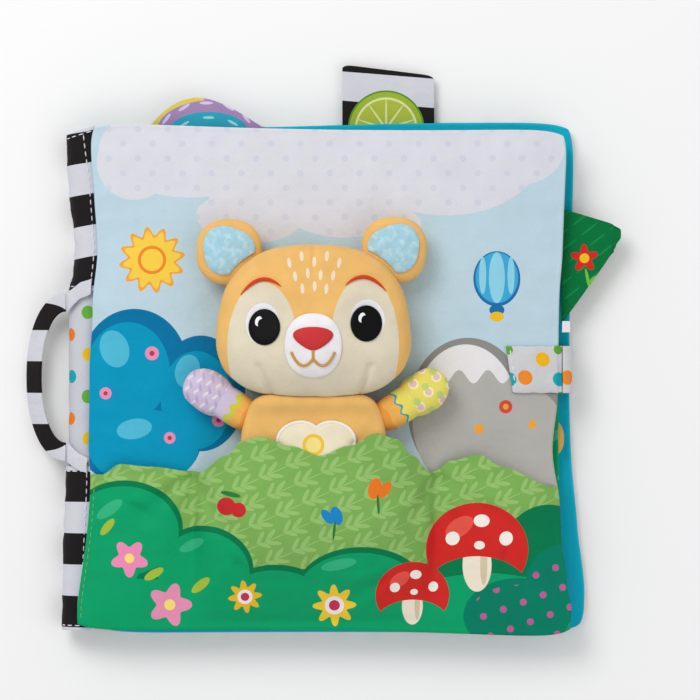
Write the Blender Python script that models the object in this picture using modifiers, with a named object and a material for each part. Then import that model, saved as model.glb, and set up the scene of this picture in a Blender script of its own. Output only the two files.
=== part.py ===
"""Crinkle cloth book for a baby: three padded panels, a spine, a pocket with a plush bear, and tabs.

The book lies on its back. +Z is up, +X is to the reader's right and +Y is to the top of the page.
The origin is the middle of the back cover's flat underside. All lengths are in metres.
Run it with: blender --background --python part.py
"""

import math

import bpy
import bmesh
from mathutils import Matrix, Vector

# Cloth and clearances
GAP = 0.0003
CLOTH = 0.0008
FILM = 0.0003
SLACK = 0.00045
CUT_OVERRUN = 0.004
SLIT = 0.0008
TAB_SLIT = 0.0007

# How the panels are sewn
CROWN_POWER = 4
FILLING_SHARE = 0.78
CORNER_CUT = 0.0035
CORNER_POWER = 12
PANEL_CUTS = 10
FILLING_CUTS = 8

# Back cover
BACK_HALF_WIDTH = 0.1090
BACK_HALF_HEIGHT = 0.1152
BACK_PINCH_SIDES = 0.0030
BACK_PINCH_ENDS = 0.0006
BACK_RIM = 0.0036
BACK_SWELL_UP = 0.0029
BACK_SWELL_DOWN = 0.00315

# Inner leaf
LEAF_HALF_WIDTH = 0.1045
LEAF_HALF_HEIGHT = 0.1130
LEAF_PINCH_SIDES = 0.0012
LEAF_PINCH_ENDS = 0.0008
LEAF_SWELL = 0.0025

# Front cover
FRONT_HALF_WIDTH = 0.1090
FRONT_HALF_HEIGHT = 0.1150
FRONT_PINCH_SIDES = 0.0050
FRONT_PINCH_ENDS = 0.0022
FRONT_SWELL_UP = 0.0050
FRONT_SWELL_DOWN = 0.0020

# Spine
SPINE_REST = 0.0004
GUSSET_BULGE = 0.0095
GUSSET_RISE = 0.0068
GUSSET_LEG = 0.0013
SPINE_HALF_HEIGHT = 0.1130
HINGE_OUTSET = 0.0003
HINGE_LIFT = 0.0020
STRIPE_UPPER_END = 0.0400
STRIPE_LOWER_END = 0.0390
ARC_CUTS = 10
LEG_SHARE = 0.2

# Carrying handle
TAPE_WIDTH = 0.0085
TAPE_THICK = 0.0012
HANDLE_TOP_SEAM = 0.0425
HANDLE_TOP_FOLD = 0.0350
HANDLE_BOTTOM_SEAM = -0.0390
HANDLE_BOTTOM_FOLD = -0.0325
HANDLE_END_ANGLE = math.radians(34)
HANDLE_START_ANGLE = math.radians(87)
HANDLE_REACH = 0.0133
HANDLE_TIP_HEIGHT = 0.0022
HANDLE_CUTS = 26
HANDLE_END_CUTS = 5
HANDLE_FULLNESS = 2.1

# Grass pocket
POCKET_CUTS_ACROSS = 24
POCKET_CUTS_UP = 8
POCKET_HALF_BULGE = 0.0540
POCKET_DOME_FOOT = 0.1080
POCKET_DOME_FULL = 0.0550
POCKET_ROOM = 0.0015
POCKET_LOBE = 0.0035
POCKET_MOUTH_SHARES = (
    (-1.00, -0.370), (-0.92, -0.328), (-0.78, -0.338), (-0.565, -0.358), (-0.44, -0.290), (-0.37, -0.232),
    (-0.30, -0.216), (-0.165, -0.252), (-0.04, -0.290), (0.085, -0.252), (0.20, -0.204), (0.295, -0.226),
    (0.36, -0.290), (0.445, -0.360), (0.545, -0.313), (0.67, -0.290), (0.79, -0.340), (1.00, -0.420),
)

# Closing strap
STRAP_WIDTH = 0.0212
STRAP_MIDDLE_Y = 0.0047
STRAP_THICK = 0.0012
STRAP_START = 0.0790
STRAP_HANG = 0.0182
HOOK_THICK = 0.0008
HOOK_LENGTH = 0.0070
HOOK_INSET = 0.0016
STRAP_CUTS = 8

# Tabs sewn into the edges
TAB_THICK = 0.0010
ARCH_MIDDLE_X = -0.0560
ARCH_HALF_WIDTH = 0.0265
ARCH_REACH = 0.0142
STRIPED_MIDDLE_X = 0.0264
STRIPED_HALF_WIDTH = 0.0209
STRIPED_REACH = 0.0252
STRIPED_SLOPE = 0.0052
CORNER_LOW = 0.0250
CORNER_HIGH = 0.0775
CORNER_TIP_LOW = 0.0625
CORNER_TIP_HIGH = 0.0695
CORNER_REACH = 0.0270
LABEL_LOW = 0.0215
LABEL_HIGH = 0.0265
LABEL_REACH = 0.0036
FLAP_LOW = -0.0333
FLAP_HIGH = -0.0194
FLAP_REACH = 0.0026
TAB_CUTS = 8

# Plush bear: head
BEAR_X = -0.0072
HEAD_MIDDLE_Y = 0.0262
HEAD_HALF_WIDTH = 0.0430
HEAD_HALF_HEIGHT = 0.0344
HEAD_HALF_DEPTH = 0.0175
HEAD_SINK = 0.0018
HEAD_FULLNESS = 2.6
HEAD_TAPER_SHARE = 0.10
EAR_OUT = 0.0368
EAR_UP = 0.0560
EAR_RADIUS = 0.0150
EAR_HALF_DEPTH = 0.0065
EAR_LEVEL = 0.0110
EAR_LINING_RADIUS = 0.0103
EAR_LINING_OUT = 0.0012
PATCH_THICK = 0.0006
EYE_OUT = 0.0230
EYE_UP = 0.0246
EYE_HALF_WIDTH = 0.0071
EYE_HALF_HEIGHT = 0.0080
MUZZLE_UP = 0.0155
MUZZLE_HALF_WIDTH = 0.0126
MUZZLE_HALF_HEIGHT = 0.0142
NOSE_UP = 0.0190
NOSE_HALF_WIDTH = 0.0090
NOSE_HALF_HEIGHT = 0.0051
NOSE_TAPER_SHARE = 0.30
MOUTH_UP = 0.0098
MOUTH_HALF_WIDTH = 0.0092
MOUTH_DROP = 0.0034
BROW_OUT = 0.0235
BROW_UP = 0.0400
BROW_HALF_WIDTH = 0.0090
BROW_RISE = 0.0048
THREAD_RADIUS = 0.0007
BROW_THREAD_RADIUS = 0.0010

# Plush bear: torso and limbs
TORSO_MIDDLE_Y = -0.0425
TORSO_HALF_WIDTH = 0.0335
TORSO_HALF_HEIGHT = 0.0338
TORSO_HALF_DEPTH = 0.0105
TORSO_SINK = 0.0010
TORSO_FULLNESS = 3.0
BELLY_Y = -0.0270
BELLY_HALF_WIDTH = 0.0172
BELLY_HALF_HEIGHT = 0.0096
ARM_HALF_LENGTH = 0.0130
ARM_HALF_WIDTH = 0.0080
ARM_HALF_DEPTH = 0.0075
ARM_LEVEL = 0.0090
ARM_FULLNESS = 2.6
ARM_OUT_LEFT = 0.0358
ARM_OUT_RIGHT = 0.0380
ARM_Y = -0.0122
ARM_ANGLE = math.radians(32)
PAW_RADIUS = 0.0100
PAW_HALF_DEPTH = 0.0080
PAW_AHEAD = 0.0148
SHOULDER_BACK = 0.0085
SHOULDER_RISE = 0.0052

# Sound module in the torso
CASE_SIDE = 0.0420
CASE_DEPTH = 0.0132
CASE_WALL = 0.0015
CASE_CORNER = 0.0030
DOOR_WIDTH = 0.0370
DOOR_HEIGHT = 0.0140
DOOR_Y = -0.0090
SCREW_RADIUS = 0.0017
SCREW_INSET = 0.0032
CELL_RADIUS = 0.0058
CELL_DEPTH = 0.0052
CELL_PITCH = 0.0122
SPEAKER_RADIUS = 0.0100
SPEAKER_DEPTH = 0.0050
SPEAKER_Y = 0.0092
SOUND_HOLE_RADIUS = 0.0012
SOUND_HOLE_PITCH = 0.0045
BOARD_SIDE = 0.0370
BOARD_THICK = 0.0008
BUTTON_RADIUS = 0.0080
BUTTON_RIM = 0.0012
BUTTON_RIM_THICK = 0.0007

# Levels of the stacked panels, from the table up
BACK_TOP = BACK_RIM + GAP / 2 + CLOTH + BACK_SWELL_UP
LEAF_RIM = BACK_TOP + GAP + CLOTH + GAP / 2 + LEAF_SWELL
LEAF_TOP = LEAF_RIM + GAP / 2 + CLOTH + LEAF_SWELL
FRONT_RIM = LEAF_TOP + GAP + CLOTH + GAP / 2 + FRONT_SWELL_DOWN
FRONT_TOP = FRONT_RIM + GAP / 2 + CLOTH + FRONT_SWELL_UP
HINGE_X = -FRONT_HALF_WIDTH - HINGE_OUTSET
HINGE_Z = FRONT_RIM + GAP / 2 + CLOTH + HINGE_LIFT
SLEEVE_GROWTH = GAP + CLOTH
SPINE_LEVEL = SPINE_REST + GUSSET_RISE + SLEEVE_GROWTH
TOY_FLOOR = FRONT_TOP + GAP
TORSO_LEVEL = TOY_FLOOR + TORSO_HALF_DEPTH - TORSO_SINK
POCKET_DOME = TORSO_LEVEL + TORSO_HALF_DEPTH + POCKET_ROOM - FRONT_TOP - GAP

# Colours of the cloths and plastics: red, green, blue, then roughness and metallic
COLOURS = {
    "sky_satin": (0.51, 0.66, 0.76, 0.7, 0.0),
    "teal_satin": (0.0, 0.31, 0.43, 0.7, 0.0),
    "dotted_satin": (0.70, 0.70, 0.76, 0.7, 0.0),
    "leaf_satin": (0.02, 0.30, 0.15, 0.7, 0.0),
    "wadding": (0.85, 0.85, 0.83, 0.95, 0.0),
    "crinkle_film": (0.75, 0.77, 0.80, 0.3, 0.0),
    "striped_tape": (0.10, 0.10, 0.11, 0.7, 0.0),
    "grass_satin": (0.26, 0.52, 0.12, 0.7, 0.0),
    "hook_tape": (0.80, 0.80, 0.82, 0.9, 0.0),
    "purple_satin": (0.40, 0.22, 0.50, 0.7, 0.0),
    "green_satin": (0.0, 0.25, 0.09, 0.7, 0.0),
    "orange_satin": (0.85, 0.30, 0.03, 0.7, 0.0),
    "white_label": (0.80, 0.80, 0.82, 0.7, 0.0),
    "peach_plush": (0.82, 0.52, 0.16, 0.95, 0.0),
    "cream_plush": (0.74, 0.68, 0.46, 0.95, 0.0),
    "ear_satin": (0.39, 0.68, 0.77, 0.5, 0.0),
    "black_thread": (0.01, 0.01, 0.012, 0.5, 0.0),
    "red_thread": (0.68, 0.05, 0.04, 0.5, 0.0),
    "tan_thread": (0.45, 0.16, 0.05, 0.6, 0.0),
    "lilac_plush": (0.56, 0.46, 0.68, 0.95, 0.0),
    "yellow_plush": (0.80, 0.70, 0.10, 0.95, 0.0),
    "white_plastic": (0.80, 0.80, 0.78, 0.4, 0.0),
    "green_board": (0.02, 0.20, 0.08, 0.5, 0.0),
    "steel": (0.60, 0.60, 0.60, 0.3, 1.0),
    "grey_plastic": (0.10, 0.10, 0.11, 0.5, 0.0),
}


def clear_scene() -> tuple:
    """Remove what the scene holds, and make the collections for the parts and for the cutters."""
    for obj in list(bpy.data.objects):
        bpy.data.objects.remove(obj)
    parts = bpy.data.collections.new("crinkle_cloth_book")
    cutters = bpy.data.collections.new("cutters")
    bpy.context.scene.collection.children.link(parts)
    bpy.context.scene.collection.children.link(cutters)
    return parts, cutters


PARTS, CUTTERS = clear_scene()


def material(slot):
    """The named cloth or plastic, made when it is first asked for."""
    if slot in bpy.data.materials:
        return bpy.data.materials[slot]
    red, green, blue, roughness, metallic = COLOURS[slot]
    made = bpy.data.materials.new(slot)
    made.use_nodes = True
    shader = made.node_tree.nodes["Principled BSDF"]
    shader.inputs["Base Color"].default_value = (red, green, blue, 1)
    shader.inputs["Roughness"].default_value = roughness
    shader.inputs["Metallic"].default_value = metallic
    return made


class Pivot:
    """An empty on a joint's axis, which carries the pieces that turn or slide with it."""

    def __init__(self, name, place, carrier=None):
        self.place = Vector(place)
        self.empty = bpy.data.objects.new(name, None)
        PARTS.objects.link(self.empty)
        self.empty.location = self.place - (carrier.place if carrier else Vector())
        if carrier:
            self.empty.parent = carrier.empty


def face_outwards(bm):
    """Turn the faces of a mesh to point out, where the mesh is closed."""
    bmesh.ops.recalc_face_normals(bm, faces=bm.faces)
    if all(edge.is_manifold for edge in bm.edges) and bm.calc_volume(signed=True) < 0:
        bmesh.ops.reverse_faces(bm, faces=bm.faces)


def finish_piece(name, bm, slot, pivot=None, smooth=True):
    """Turn a bmesh in world coordinates into a named piece, hung from its pivot."""
    face_outwards(bm)
    mesh = bpy.data.meshes.new(name)
    bm.to_mesh(mesh)
    bm.free()
    piece = bpy.data.objects.new(name, mesh)
    PARTS.objects.link(piece)
    if pivot:
        mesh.transform(Matrix.Translation(-pivot.place))
        piece.parent = pivot.empty
    if smooth:
        mesh.shade_smooth()
        mesh.set_sharp_from_angle(angle=math.radians(40))
    mesh.materials.append(material(slot))
    return piece


def make_cutter(name, bm):
    """Turn a bmesh in world coordinates into a cutter, which isn't part of the book."""
    face_outwards(bm)
    mesh = bpy.data.meshes.new(name)
    bm.to_mesh(mesh)
    bm.free()
    cutter = bpy.data.objects.new(name, mesh)
    CUTTERS.objects.link(cutter)
    cutter.hide_render = True
    cutter.display_type = "WIRE"
    return cutter


def cut(piece, cutter, operation="DIFFERENCE"):
    """Cut one piece by a cutter with a Boolean modifier."""
    boolean = piece.modifiers.new(cutter.name, "BOOLEAN")
    boolean.operation = operation
    boolean.object = cutter


def unit_grid(across, up):
    """A grid from -1 to 1 both ways, as a bmesh."""
    bm = bmesh.new()
    bmesh.ops.create_grid(bm, x_segments=across, y_segments=up, size=1)
    return bm


def cloth_sheet(name, place, height, slot, inward, pivot=None, across=PANEL_CUTS, up=PANEL_CUTS):
    """A single cloth: an open surface with the cloth's thickness added on its inner side."""
    bm = unit_grid(across, up)
    for vert in bm.verts:
        u, v = vert.co.x, vert.co.y
        x, y = place(u, v)
        vert.co = (x, y, height(u, v))
    piece = finish_piece(name, bm, slot, pivot)
    shell = piece.modifiers.new("cloth", "SOLIDIFY")
    shell.thickness = CLOTH
    shell.offset = inward
    return piece


def pad(name, place, low, high, slot, pivot=None, across=TAB_CUTS, up=TAB_CUTS, smooth=True):
    """A closed soft piece between two heights, both given as functions of the unit grid."""
    bm = unit_grid(across, up)
    lower = list(bm.verts)
    shares = [(vert.co.x, vert.co.y) for vert in lower]
    made = bmesh.ops.extrude_face_region(bm, geom=bm.faces[:], use_keep_orig=True)
    upper = [item for item in made["geom"] if isinstance(item, bmesh.types.BMVert)]
    for vert in upper:
        u, v = vert.co.x, vert.co.y
        x, y = place(u, v)
        vert.co = (x, y, high(u, v))
    for vert, (u, v) in zip(lower, shares):
        x, y = place(u, v)
        vert.co = (x, y, low(u, v))
    return finish_piece(name, bm, slot, pivot, smooth)


def smooth_step(share):
    """Ease from 0 to 1."""
    share = min(1, max(0, share))
    return share * share * (3 - 2 * share)


def round_shares(u, v):
    """Map the unit square to the unit disc."""
    return u * math.sqrt(1 - v * v / 2), v * math.sqrt(1 - u * u / 2)


class Panel:
    """One sewn and padded panel: its outline, the level of its seam and how far its faces swell."""

    def __init__(self, half_width, half_height, pinch_sides, pinch_ends, rim, swell_up, swell_down):
        self.half_width = half_width
        self.half_height = half_height
        self.pinch_sides = pinch_sides
        self.pinch_ends = pinch_ends
        self.rim = rim
        self.swell_up = swell_up
        self.swell_down = swell_down

    def place(self, u, v):
        """X and Y of a point of the panel, whose sides and ends are drawn in between its corners."""
        x = u * (self.half_width - self.pinch_sides * (1 - v * v))
        y = v * (self.half_height - self.pinch_ends * (1 - u * u))
        corner = CORNER_CUT * (u * v) ** CORNER_POWER
        return x - math.copysign(corner, u), y - math.copysign(corner, v)

    def shares(self, x, y):
        """The point of the unit grid that lies at X and Y."""
        u, v = x / self.half_width, y / self.half_height
        for _ in range(5):
            u = x / (self.half_width - self.pinch_sides * (1 - v * v))
            v = y / (self.half_height - self.pinch_ends * (1 - u * u))
        return min(1, max(-1, u)), min(1, max(-1, v))

    def crown(self, u, v):
        """Share of the full swell, 0 at the seam."""
        return (1 - u ** CROWN_POWER) * (1 - v ** CROWN_POWER)

    def upper(self, u, v):
        """Level of the upper face's outer side."""
        return self.rim + GAP / 2 + CLOTH + self.swell_up * self.crown(u, v)

    def lower(self, u, v):
        """Level of the lower face's outer side, which lies flat where it would dip below the table."""
        return max(0, self.rim - GAP / 2 - CLOTH - self.swell_down * self.crown(u, v))

    def top_at(self, x, y):
        """Level of the upper face at X and Y."""
        return self.upper(*self.shares(x, y))

    def edge_x(self, y):
        """Where the right side's seam lies at Y."""
        share = y / self.half_height
        return self.half_width - self.pinch_sides * (1 - share * share)

    def edge_y(self, x):
        """Where the top end's seam lies at X."""
        share = x / self.half_width
        return self.half_height - self.pinch_ends * (1 - share * share)

    def sew(self, names, slots, pivot=None):
        """Make the upper cloth, the crinkle film, the wadding and the lower cloth."""
        upper_name, film_name, wadding_name, lower_name = names
        upper_slot, lower_slot = slots
        cloth_sheet(upper_name, self.place, self.upper, upper_slot, -1, pivot)
        cloth_sheet(lower_name, self.place, self.lower, lower_slot, 1, pivot)

        def inset(u, v):
            return self.place(u * FILLING_SHARE, v * FILLING_SHARE)

        def film_high(u, v):
            return self.upper(u * FILLING_SHARE, v * FILLING_SHARE) - CLOTH - SLACK

        def film_low(u, v):
            return film_high(u, v) - FILM

        def wadding_high(u, v):
            return film_low(u, v) - SLACK

        def wadding_low(u, v):
            return self.lower(u * FILLING_SHARE, v * FILLING_SHARE) + CLOTH + SLACK

        pad(film_name, inset, film_low, film_high, "crinkle_film", pivot, FILLING_CUTS, FILLING_CUTS)
        pad(wadding_name, inset, wadding_low, wadding_high, "wadding", pivot, FILLING_CUTS, FILLING_CUTS)


class Plump:
    """A stuffed form: a sphere filled out towards a box, with a taper, a turn and a flat underside."""

    def __init__(self, middle, halves, fullness, taper=0, turn=0, floor=None, rings=(18, 10)):
        self.middle = Vector(middle)
        self.halves = halves
        self.fullness = fullness
        self.taper = taper
        self.turn = turn
        self.floor = floor
        self.rings = rings

    def sphere(self, growth=0):
        """The form as a bmesh in world coordinates, grown all round by a clearance."""
        bm = bmesh.new()
        around, along = self.rings
        bmesh.ops.create_uvsphere(bm, u_segments=around, v_segments=along, radius=1)
        wide, high, deep = (half + growth for half in self.halves)
        power = self.fullness
        spin = Matrix.Rotation(self.turn, 3, "Z")
        for vert in bm.verts:
            x, y, z = vert.co
            reach = (abs(x) ** power + abs(y) ** power + abs(z) ** power) ** (-1 / power)
            x, y, z = x * reach, y * reach, z * reach
            vert.co = spin @ Vector((x * wide * (1 - self.taper * y), y * high, z * deep)) + self.middle
            if self.floor is not None:
                vert.co.z = max(vert.co.z, self.floor - growth)
        return bm

    def top(self, x, y):
        """Level of the upper side at X and Y."""
        local = Matrix.Rotation(-self.turn, 3, "Z") @ Vector((x - self.middle.x, y - self.middle.y, 0))
        wide, high, deep = self.halves
        share_y = local.y / high
        share_x = local.x / (wide * (1 - self.taper * share_y))
        left = 1 - abs(share_x) ** self.fullness - abs(share_y) ** self.fullness
        return self.middle.z + deep * max(0, left) ** (1 / self.fullness)

    def patch(self, name, middle, halves, slot, pivot, taper=0, thick=PATCH_THICK, cuts=TAB_CUTS):
        """A round patch that is sewn on the upper side."""
        def place(u, v):
            a, b = round_shares(u, v)
            return middle[0] + a * halves[0] * (1 + taper * b), middle[1] + b * halves[1]

        def low(u, v):
            return self.top(*place(u, v)) + GAP

        def high(u, v):
            return low(u, v) + thick

        return pad(name, place, low, high, slot, pivot, cuts, cuts)

    def stitched_line(self, name, points, radius, slot, pivot):
        """A satin-stitched line that lies on the upper side."""
        curve = bpy.data.curves.new(name, "CURVE")
        curve.dimensions = "3D"
        curve.bevel_depth = radius
        curve.bevel_resolution = 1
        curve.use_fill_caps = True
        spline = curve.splines.new("POLY")
        spline.points.add(len(points) - 1)
        for point, (x, y) in zip(spline.points, points):
            z = self.top(x, y) + GAP + radius
            point.co = (*(Vector((x, y, z)) - pivot.place), 1)
        piece = bpy.data.objects.new(name, curve)
        PARTS.objects.link(piece)
        piece.parent = pivot.empty
        curve.materials.append(material(slot))
        return piece


BACK = Panel(BACK_HALF_WIDTH, BACK_HALF_HEIGHT, BACK_PINCH_SIDES, BACK_PINCH_ENDS, BACK_RIM,
             BACK_SWELL_UP, BACK_SWELL_DOWN)
LEAF = Panel(LEAF_HALF_WIDTH, LEAF_HALF_HEIGHT, LEAF_PINCH_SIDES, LEAF_PINCH_ENDS, LEAF_RIM,
             LEAF_SWELL, LEAF_SWELL)
FRONT = Panel(FRONT_HALF_WIDTH, FRONT_HALF_HEIGHT, FRONT_PINCH_SIDES, FRONT_PINCH_ENDS, FRONT_RIM,
              FRONT_SWELL_UP, FRONT_SWELL_DOWN)


def spine_point(along, growth):
    """X and Z on the spine's outer side: a lower leg, an arc to the left and an upper leg."""
    bulge, rise = GUSSET_BULGE + growth, GUSSET_RISE + growth
    if along < -1 + LEG_SHARE:
        share = (-1 + LEG_SHARE - along) / LEG_SHARE
        return HINGE_X + GUSSET_LEG * share, SPINE_LEVEL - rise
    if along > 1 - LEG_SHARE:
        share = (along - 1 + LEG_SHARE) / LEG_SHARE
        return HINGE_X + GUSSET_LEG * share, SPINE_LEVEL + rise
    angle = along / (1 - LEG_SHARE) * math.pi / 2
    return HINGE_X - bulge * math.cos(angle), SPINE_LEVEL + rise * math.sin(angle)


def spine_shell(name, low_y, high_y, growth, slot):
    """A cloth that is bent round the spine, open towards the leaf."""
    bm = unit_grid(ARC_CUTS, 1)
    for vert in bm.verts:
        x, z = spine_point(vert.co.x, growth)
        y = low_y + (high_y - low_y) * (vert.co.y + 1) / 2
        vert.co = (x, y, z)
    piece = finish_piece(name, bm, slot)
    shell = piece.modifiers.new("cloth", "SOLIDIFY")
    shell.thickness = CLOTH
    shell.offset = 1 if piece.data.polygons[0].normal.z > 0 else -1
    return piece


def build_spine():
    """The dotted gusset and the striped sleeve at each of its ends."""
    spine_shell("spine_gusset", -SPINE_HALF_HEIGHT, SPINE_HALF_HEIGHT, 0, "dotted_satin")
    spine_shell("spine_stripe_upper", STRIPE_UPPER_END, SPINE_HALF_HEIGHT, SLEEVE_GROWTH, "striped_tape")
    spine_shell("spine_stripe_lower", -SPINE_HALF_HEIGHT, -STRIPE_LOWER_END, SLEEVE_GROWTH, "striped_tape")


def handle_point(angle, lift):
    """X and Z over the spine's sleeve, lifted off it."""
    bulge = GUSSET_BULGE + SLEEVE_GROWTH + lift
    rise = GUSSET_RISE + SLEEVE_GROWTH + lift
    return HINGE_X - bulge * math.cos(angle), SPINE_LEVEL + rise * math.sin(angle)


def handle_end(name, fold_y, seam_y):
    """One end of the handle's tape, which lies over the spine and slants to its seam."""
    bm = unit_grid(HANDLE_END_CUTS, 1)
    for vert in bm.verts:
        share = (vert.co.x + 1) / 2
        x, z = handle_point(HANDLE_END_ANGLE + (HANDLE_START_ANGLE - HANDLE_END_ANGLE) * share, GAP)
        vert.co = (x, fold_y + (seam_y - fold_y) * share + vert.co.y * TAPE_WIDTH / 2, z)
    piece = finish_piece(name, bm, "striped_tape")
    tape = piece.modifiers.new("tape", "SOLIDIFY")
    tape.thickness = TAPE_THICK
    tape.offset = 1 if piece.data.polygons[0].normal.z > 0 else -1


HANDLE_HINGE_X, HANDLE_HINGE_Z = handle_point(HANDLE_END_ANGLE, GAP + TAPE_THICK / 2)


def build_handle():
    """The handle's two sewn ends and the loop that swings from them."""
    handle_end("handle_end_upper", HANDLE_TOP_FOLD, HANDLE_TOP_SEAM)
    handle_end("handle_end_lower", HANDLE_BOTTOM_FOLD, HANDLE_BOTTOM_SEAM)
    hinge = Pivot("handle_hinge", (HANDLE_HINGE_X - SLIT / 2, 0, HANDLE_HINGE_Z))
    middle_y = (HANDLE_TOP_FOLD + HANDLE_BOTTOM_FOLD) / 2
    half_y = (HANDLE_TOP_FOLD - HANDLE_BOTTOM_FOLD) / 2
    start_x = HANDLE_HINGE_X - SLIT

    def place(u, v):
        angle = u * math.pi / 2
        reach = HANDLE_REACH + v * TAPE_WIDTH / 2
        half = half_y + v * TAPE_WIDTH / 2
        cos_share = abs(math.cos(angle)) ** (2 / HANDLE_FULLNESS)
        sin_share = math.copysign(abs(math.sin(angle)) ** (2 / HANDLE_FULLNESS), angle)
        return start_x - reach * cos_share, middle_y + half * sin_share

    def low(u, v):
        x, _ = place(u, v)
        share = (start_x - x) / (HANDLE_REACH + TAPE_WIDTH / 2)
        drop = HANDLE_HINGE_Z - TAPE_THICK / 2 - HANDLE_TIP_HEIGHT
        return HANDLE_HINGE_Z - TAPE_THICK / 2 - drop * share

    def high(u, v):
        return low(u, v) + TAPE_THICK

    pad("handle_loop", place, low, high, "striped_tape", hinge, HANDLE_CUTS, 1)


def pocket_mouth(x):
    """Y of the pocket's wavy top edge at X."""
    share = x / FRONT_HALF_WIDTH
    points = POCKET_MOUTH_SHARES
    for (left, left_y), (right, right_y) in zip(points, points[1:]):
        if share <= right:
            blend = smooth_step((share - left) / (right - left))
            return (left_y + (right_y - left_y) * blend) * FRONT_HALF_HEIGHT
    return points[-1][1] * FRONT_HALF_HEIGHT


def pocket_puff(x, y):
    """How far the pocket stands off the cover: a dome over the torso, and a lobe at each side."""
    depth = (y + POCKET_DOME_FOOT) / (POCKET_DOME_FOOT - POCKET_DOME_FULL)
    depth = math.sin(math.pi / 2 * min(1, max(0, depth)))
    away = (x - BEAR_X) / POCKET_HALF_BULGE
    if abs(away) < 1:
        return POCKET_DOME * (1 - away ** CROWN_POWER) * depth
    side = FRONT_HALF_WIDTH - FRONT_PINCH_SIDES
    valley = BEAR_X + math.copysign(POCKET_HALF_BULGE, away)
    share = (x - valley) / (math.copysign(side, away) - valley)
    return POCKET_LOBE * math.sin(math.pi * min(1, max(0, share))) * depth


def build_pocket(cover_hinge):
    """The printed cloth over the lower part of the front cover, open at its wavy top edge."""
    def place(u, v):
        side_x, _ = FRONT.place(u, -1)
        mouth = pocket_mouth(side_x)
        share_up = (v + 1) / 2
        bottom = FRONT.place(u, -1)[1]
        y = bottom + (mouth - bottom) * share_up
        x = FRONT.place(u, y / FRONT_HALF_HEIGHT)[0]
        return x, y

    def height(u, v):
        x, y = place(u, v)
        return FRONT.top_at(x, y) + GAP + CLOTH + pocket_puff(x, y)

    cloth_sheet("grass_pocket", place, height, "grass_satin", -1, cover_hinge, POCKET_CUTS_ACROSS,
                POCKET_CUTS_UP)


STRAP_EDGE_X = FRONT.edge_x(STRAP_MIDDLE_Y) + SLIT
LOOP_TAPE_X = BACK.edge_x(STRAP_MIDDLE_Y) + GAP
HOOK_TAPE_X = LOOP_TAPE_X + HOOK_THICK + GAP
STRAP_INNER_X = HOOK_TAPE_X + HOOK_THICK + GAP
STRAP_FOLD = STRAP_INNER_X + STRAP_THICK - STRAP_EDGE_X - GAP / 2
STRAP_TOP_Z = FRONT_RIM + GAP / 2 + CLOTH + GAP + STRAP_THICK


def build_strap(cover_hinge):
    """The sewn end on the front cover, the free end with its hook tape, and the loop tape it grips."""
    low_y, half = STRAP_MIDDLE_Y - STRAP_WIDTH / 2, STRAP_WIDTH / 2

    def sewn_place(u, v):
        x = STRAP_START + (STRAP_EDGE_X - GAP / 2 - STRAP_START) * (u + 1) / 2
        return x, STRAP_MIDDLE_Y + v * half

    def sewn_low(u, v):
        return FRONT.top_at(*sewn_place(u, v)) + GAP

    def sewn_high(u, v):
        return sewn_low(u, v) + STRAP_THICK

    pad("strap_sewn_end", sewn_place, sewn_low, sewn_high, "dotted_satin", cover_hinge, STRAP_CUTS, 2)
    hinge = Pivot("strap_hinge", (STRAP_EDGE_X, STRAP_MIDDLE_Y, STRAP_TOP_Z + GAP / 2), cover_hinge)
    bm = unit_grid(STRAP_CUTS, 1)
    for vert in bm.verts:
        share = (vert.co.x + 1) / 2
        angle = math.pi / 2 * min(1, 2 * share)
        x = STRAP_EDGE_X + GAP / 2 + STRAP_FOLD * math.sin(angle)
        z = STRAP_TOP_Z - STRAP_FOLD * (1 - math.cos(angle))
        z -= (STRAP_HANG - STRAP_FOLD) * max(0, 2 * share - 1)
        vert.co = (x, low_y + half * (vert.co.y + 1), z)
    free_end = finish_piece("strap_free_end", bm, "dotted_satin", hinge)
    band = free_end.modifiers.new("band", "SOLIDIFY")
    band.thickness = STRAP_THICK
    band.offset = -1 if free_end.data.polygons[0].normal.z > 0 else 1
    tape_box("strap_hook_tape", HOOK_TAPE_X, hinge)
    tape_box("strap_loop_tape", LOOP_TAPE_X, None)


def tape_box(name, left, pivot):
    """A short upright piece of hook or loop tape at the fore-edge."""
    foot = STRAP_TOP_Z - STRAP_HANG
    low_y = STRAP_MIDDLE_Y - STRAP_WIDTH / 2 + HOOK_INSET
    high_y = STRAP_MIDDLE_Y + STRAP_WIDTH / 2 - HOOK_INSET
    return box(name, (left, low_y, foot), (left + HOOK_THICK, high_y, foot + HOOK_LENGTH), "hook_tape", pivot)


def box_mesh(low, high):
    """A box between two corners, as a bmesh."""
    bm = bmesh.new()
    bmesh.ops.create_cube(bm, size=1)
    low, high = Vector(low), Vector(high)
    for vert in bm.verts:
        share = vert.co + Vector((1, 1, 1)) / 2
        vert.co = [low[i] + (high[i] - low[i]) * share[i] for i in range(3)]
    return bm


def box(name, low, high, slot, pivot=None, corner=0):
    """A box between two corners, its upright edges rounded if a corner radius is given."""
    bm = box_mesh(low, high)
    if corner:
        upright = [edge for edge in bm.edges
                   if abs(edge.verts[0].co.z - edge.verts[1].co.z) > (high[2] - low[2]) / 2]
        bmesh.ops.bevel(bm, geom=upright, offset=corner, segments=3, profile=0.5, affect="EDGES")
    return finish_piece(name, bm, slot, pivot, smooth=False)


def disc_mesh(middle, radius, low, high, sides=20):
    """An upright cylinder, as a bmesh."""
    bm = bmesh.new()
    bmesh.ops.create_cone(bm, cap_ends=True, segments=sides, radius1=radius, radius2=radius, depth=high - low)
    bmesh.ops.translate(bm, verts=bm.verts, vec=(middle[0], middle[1], (low + high) / 2))
    return bm


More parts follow.
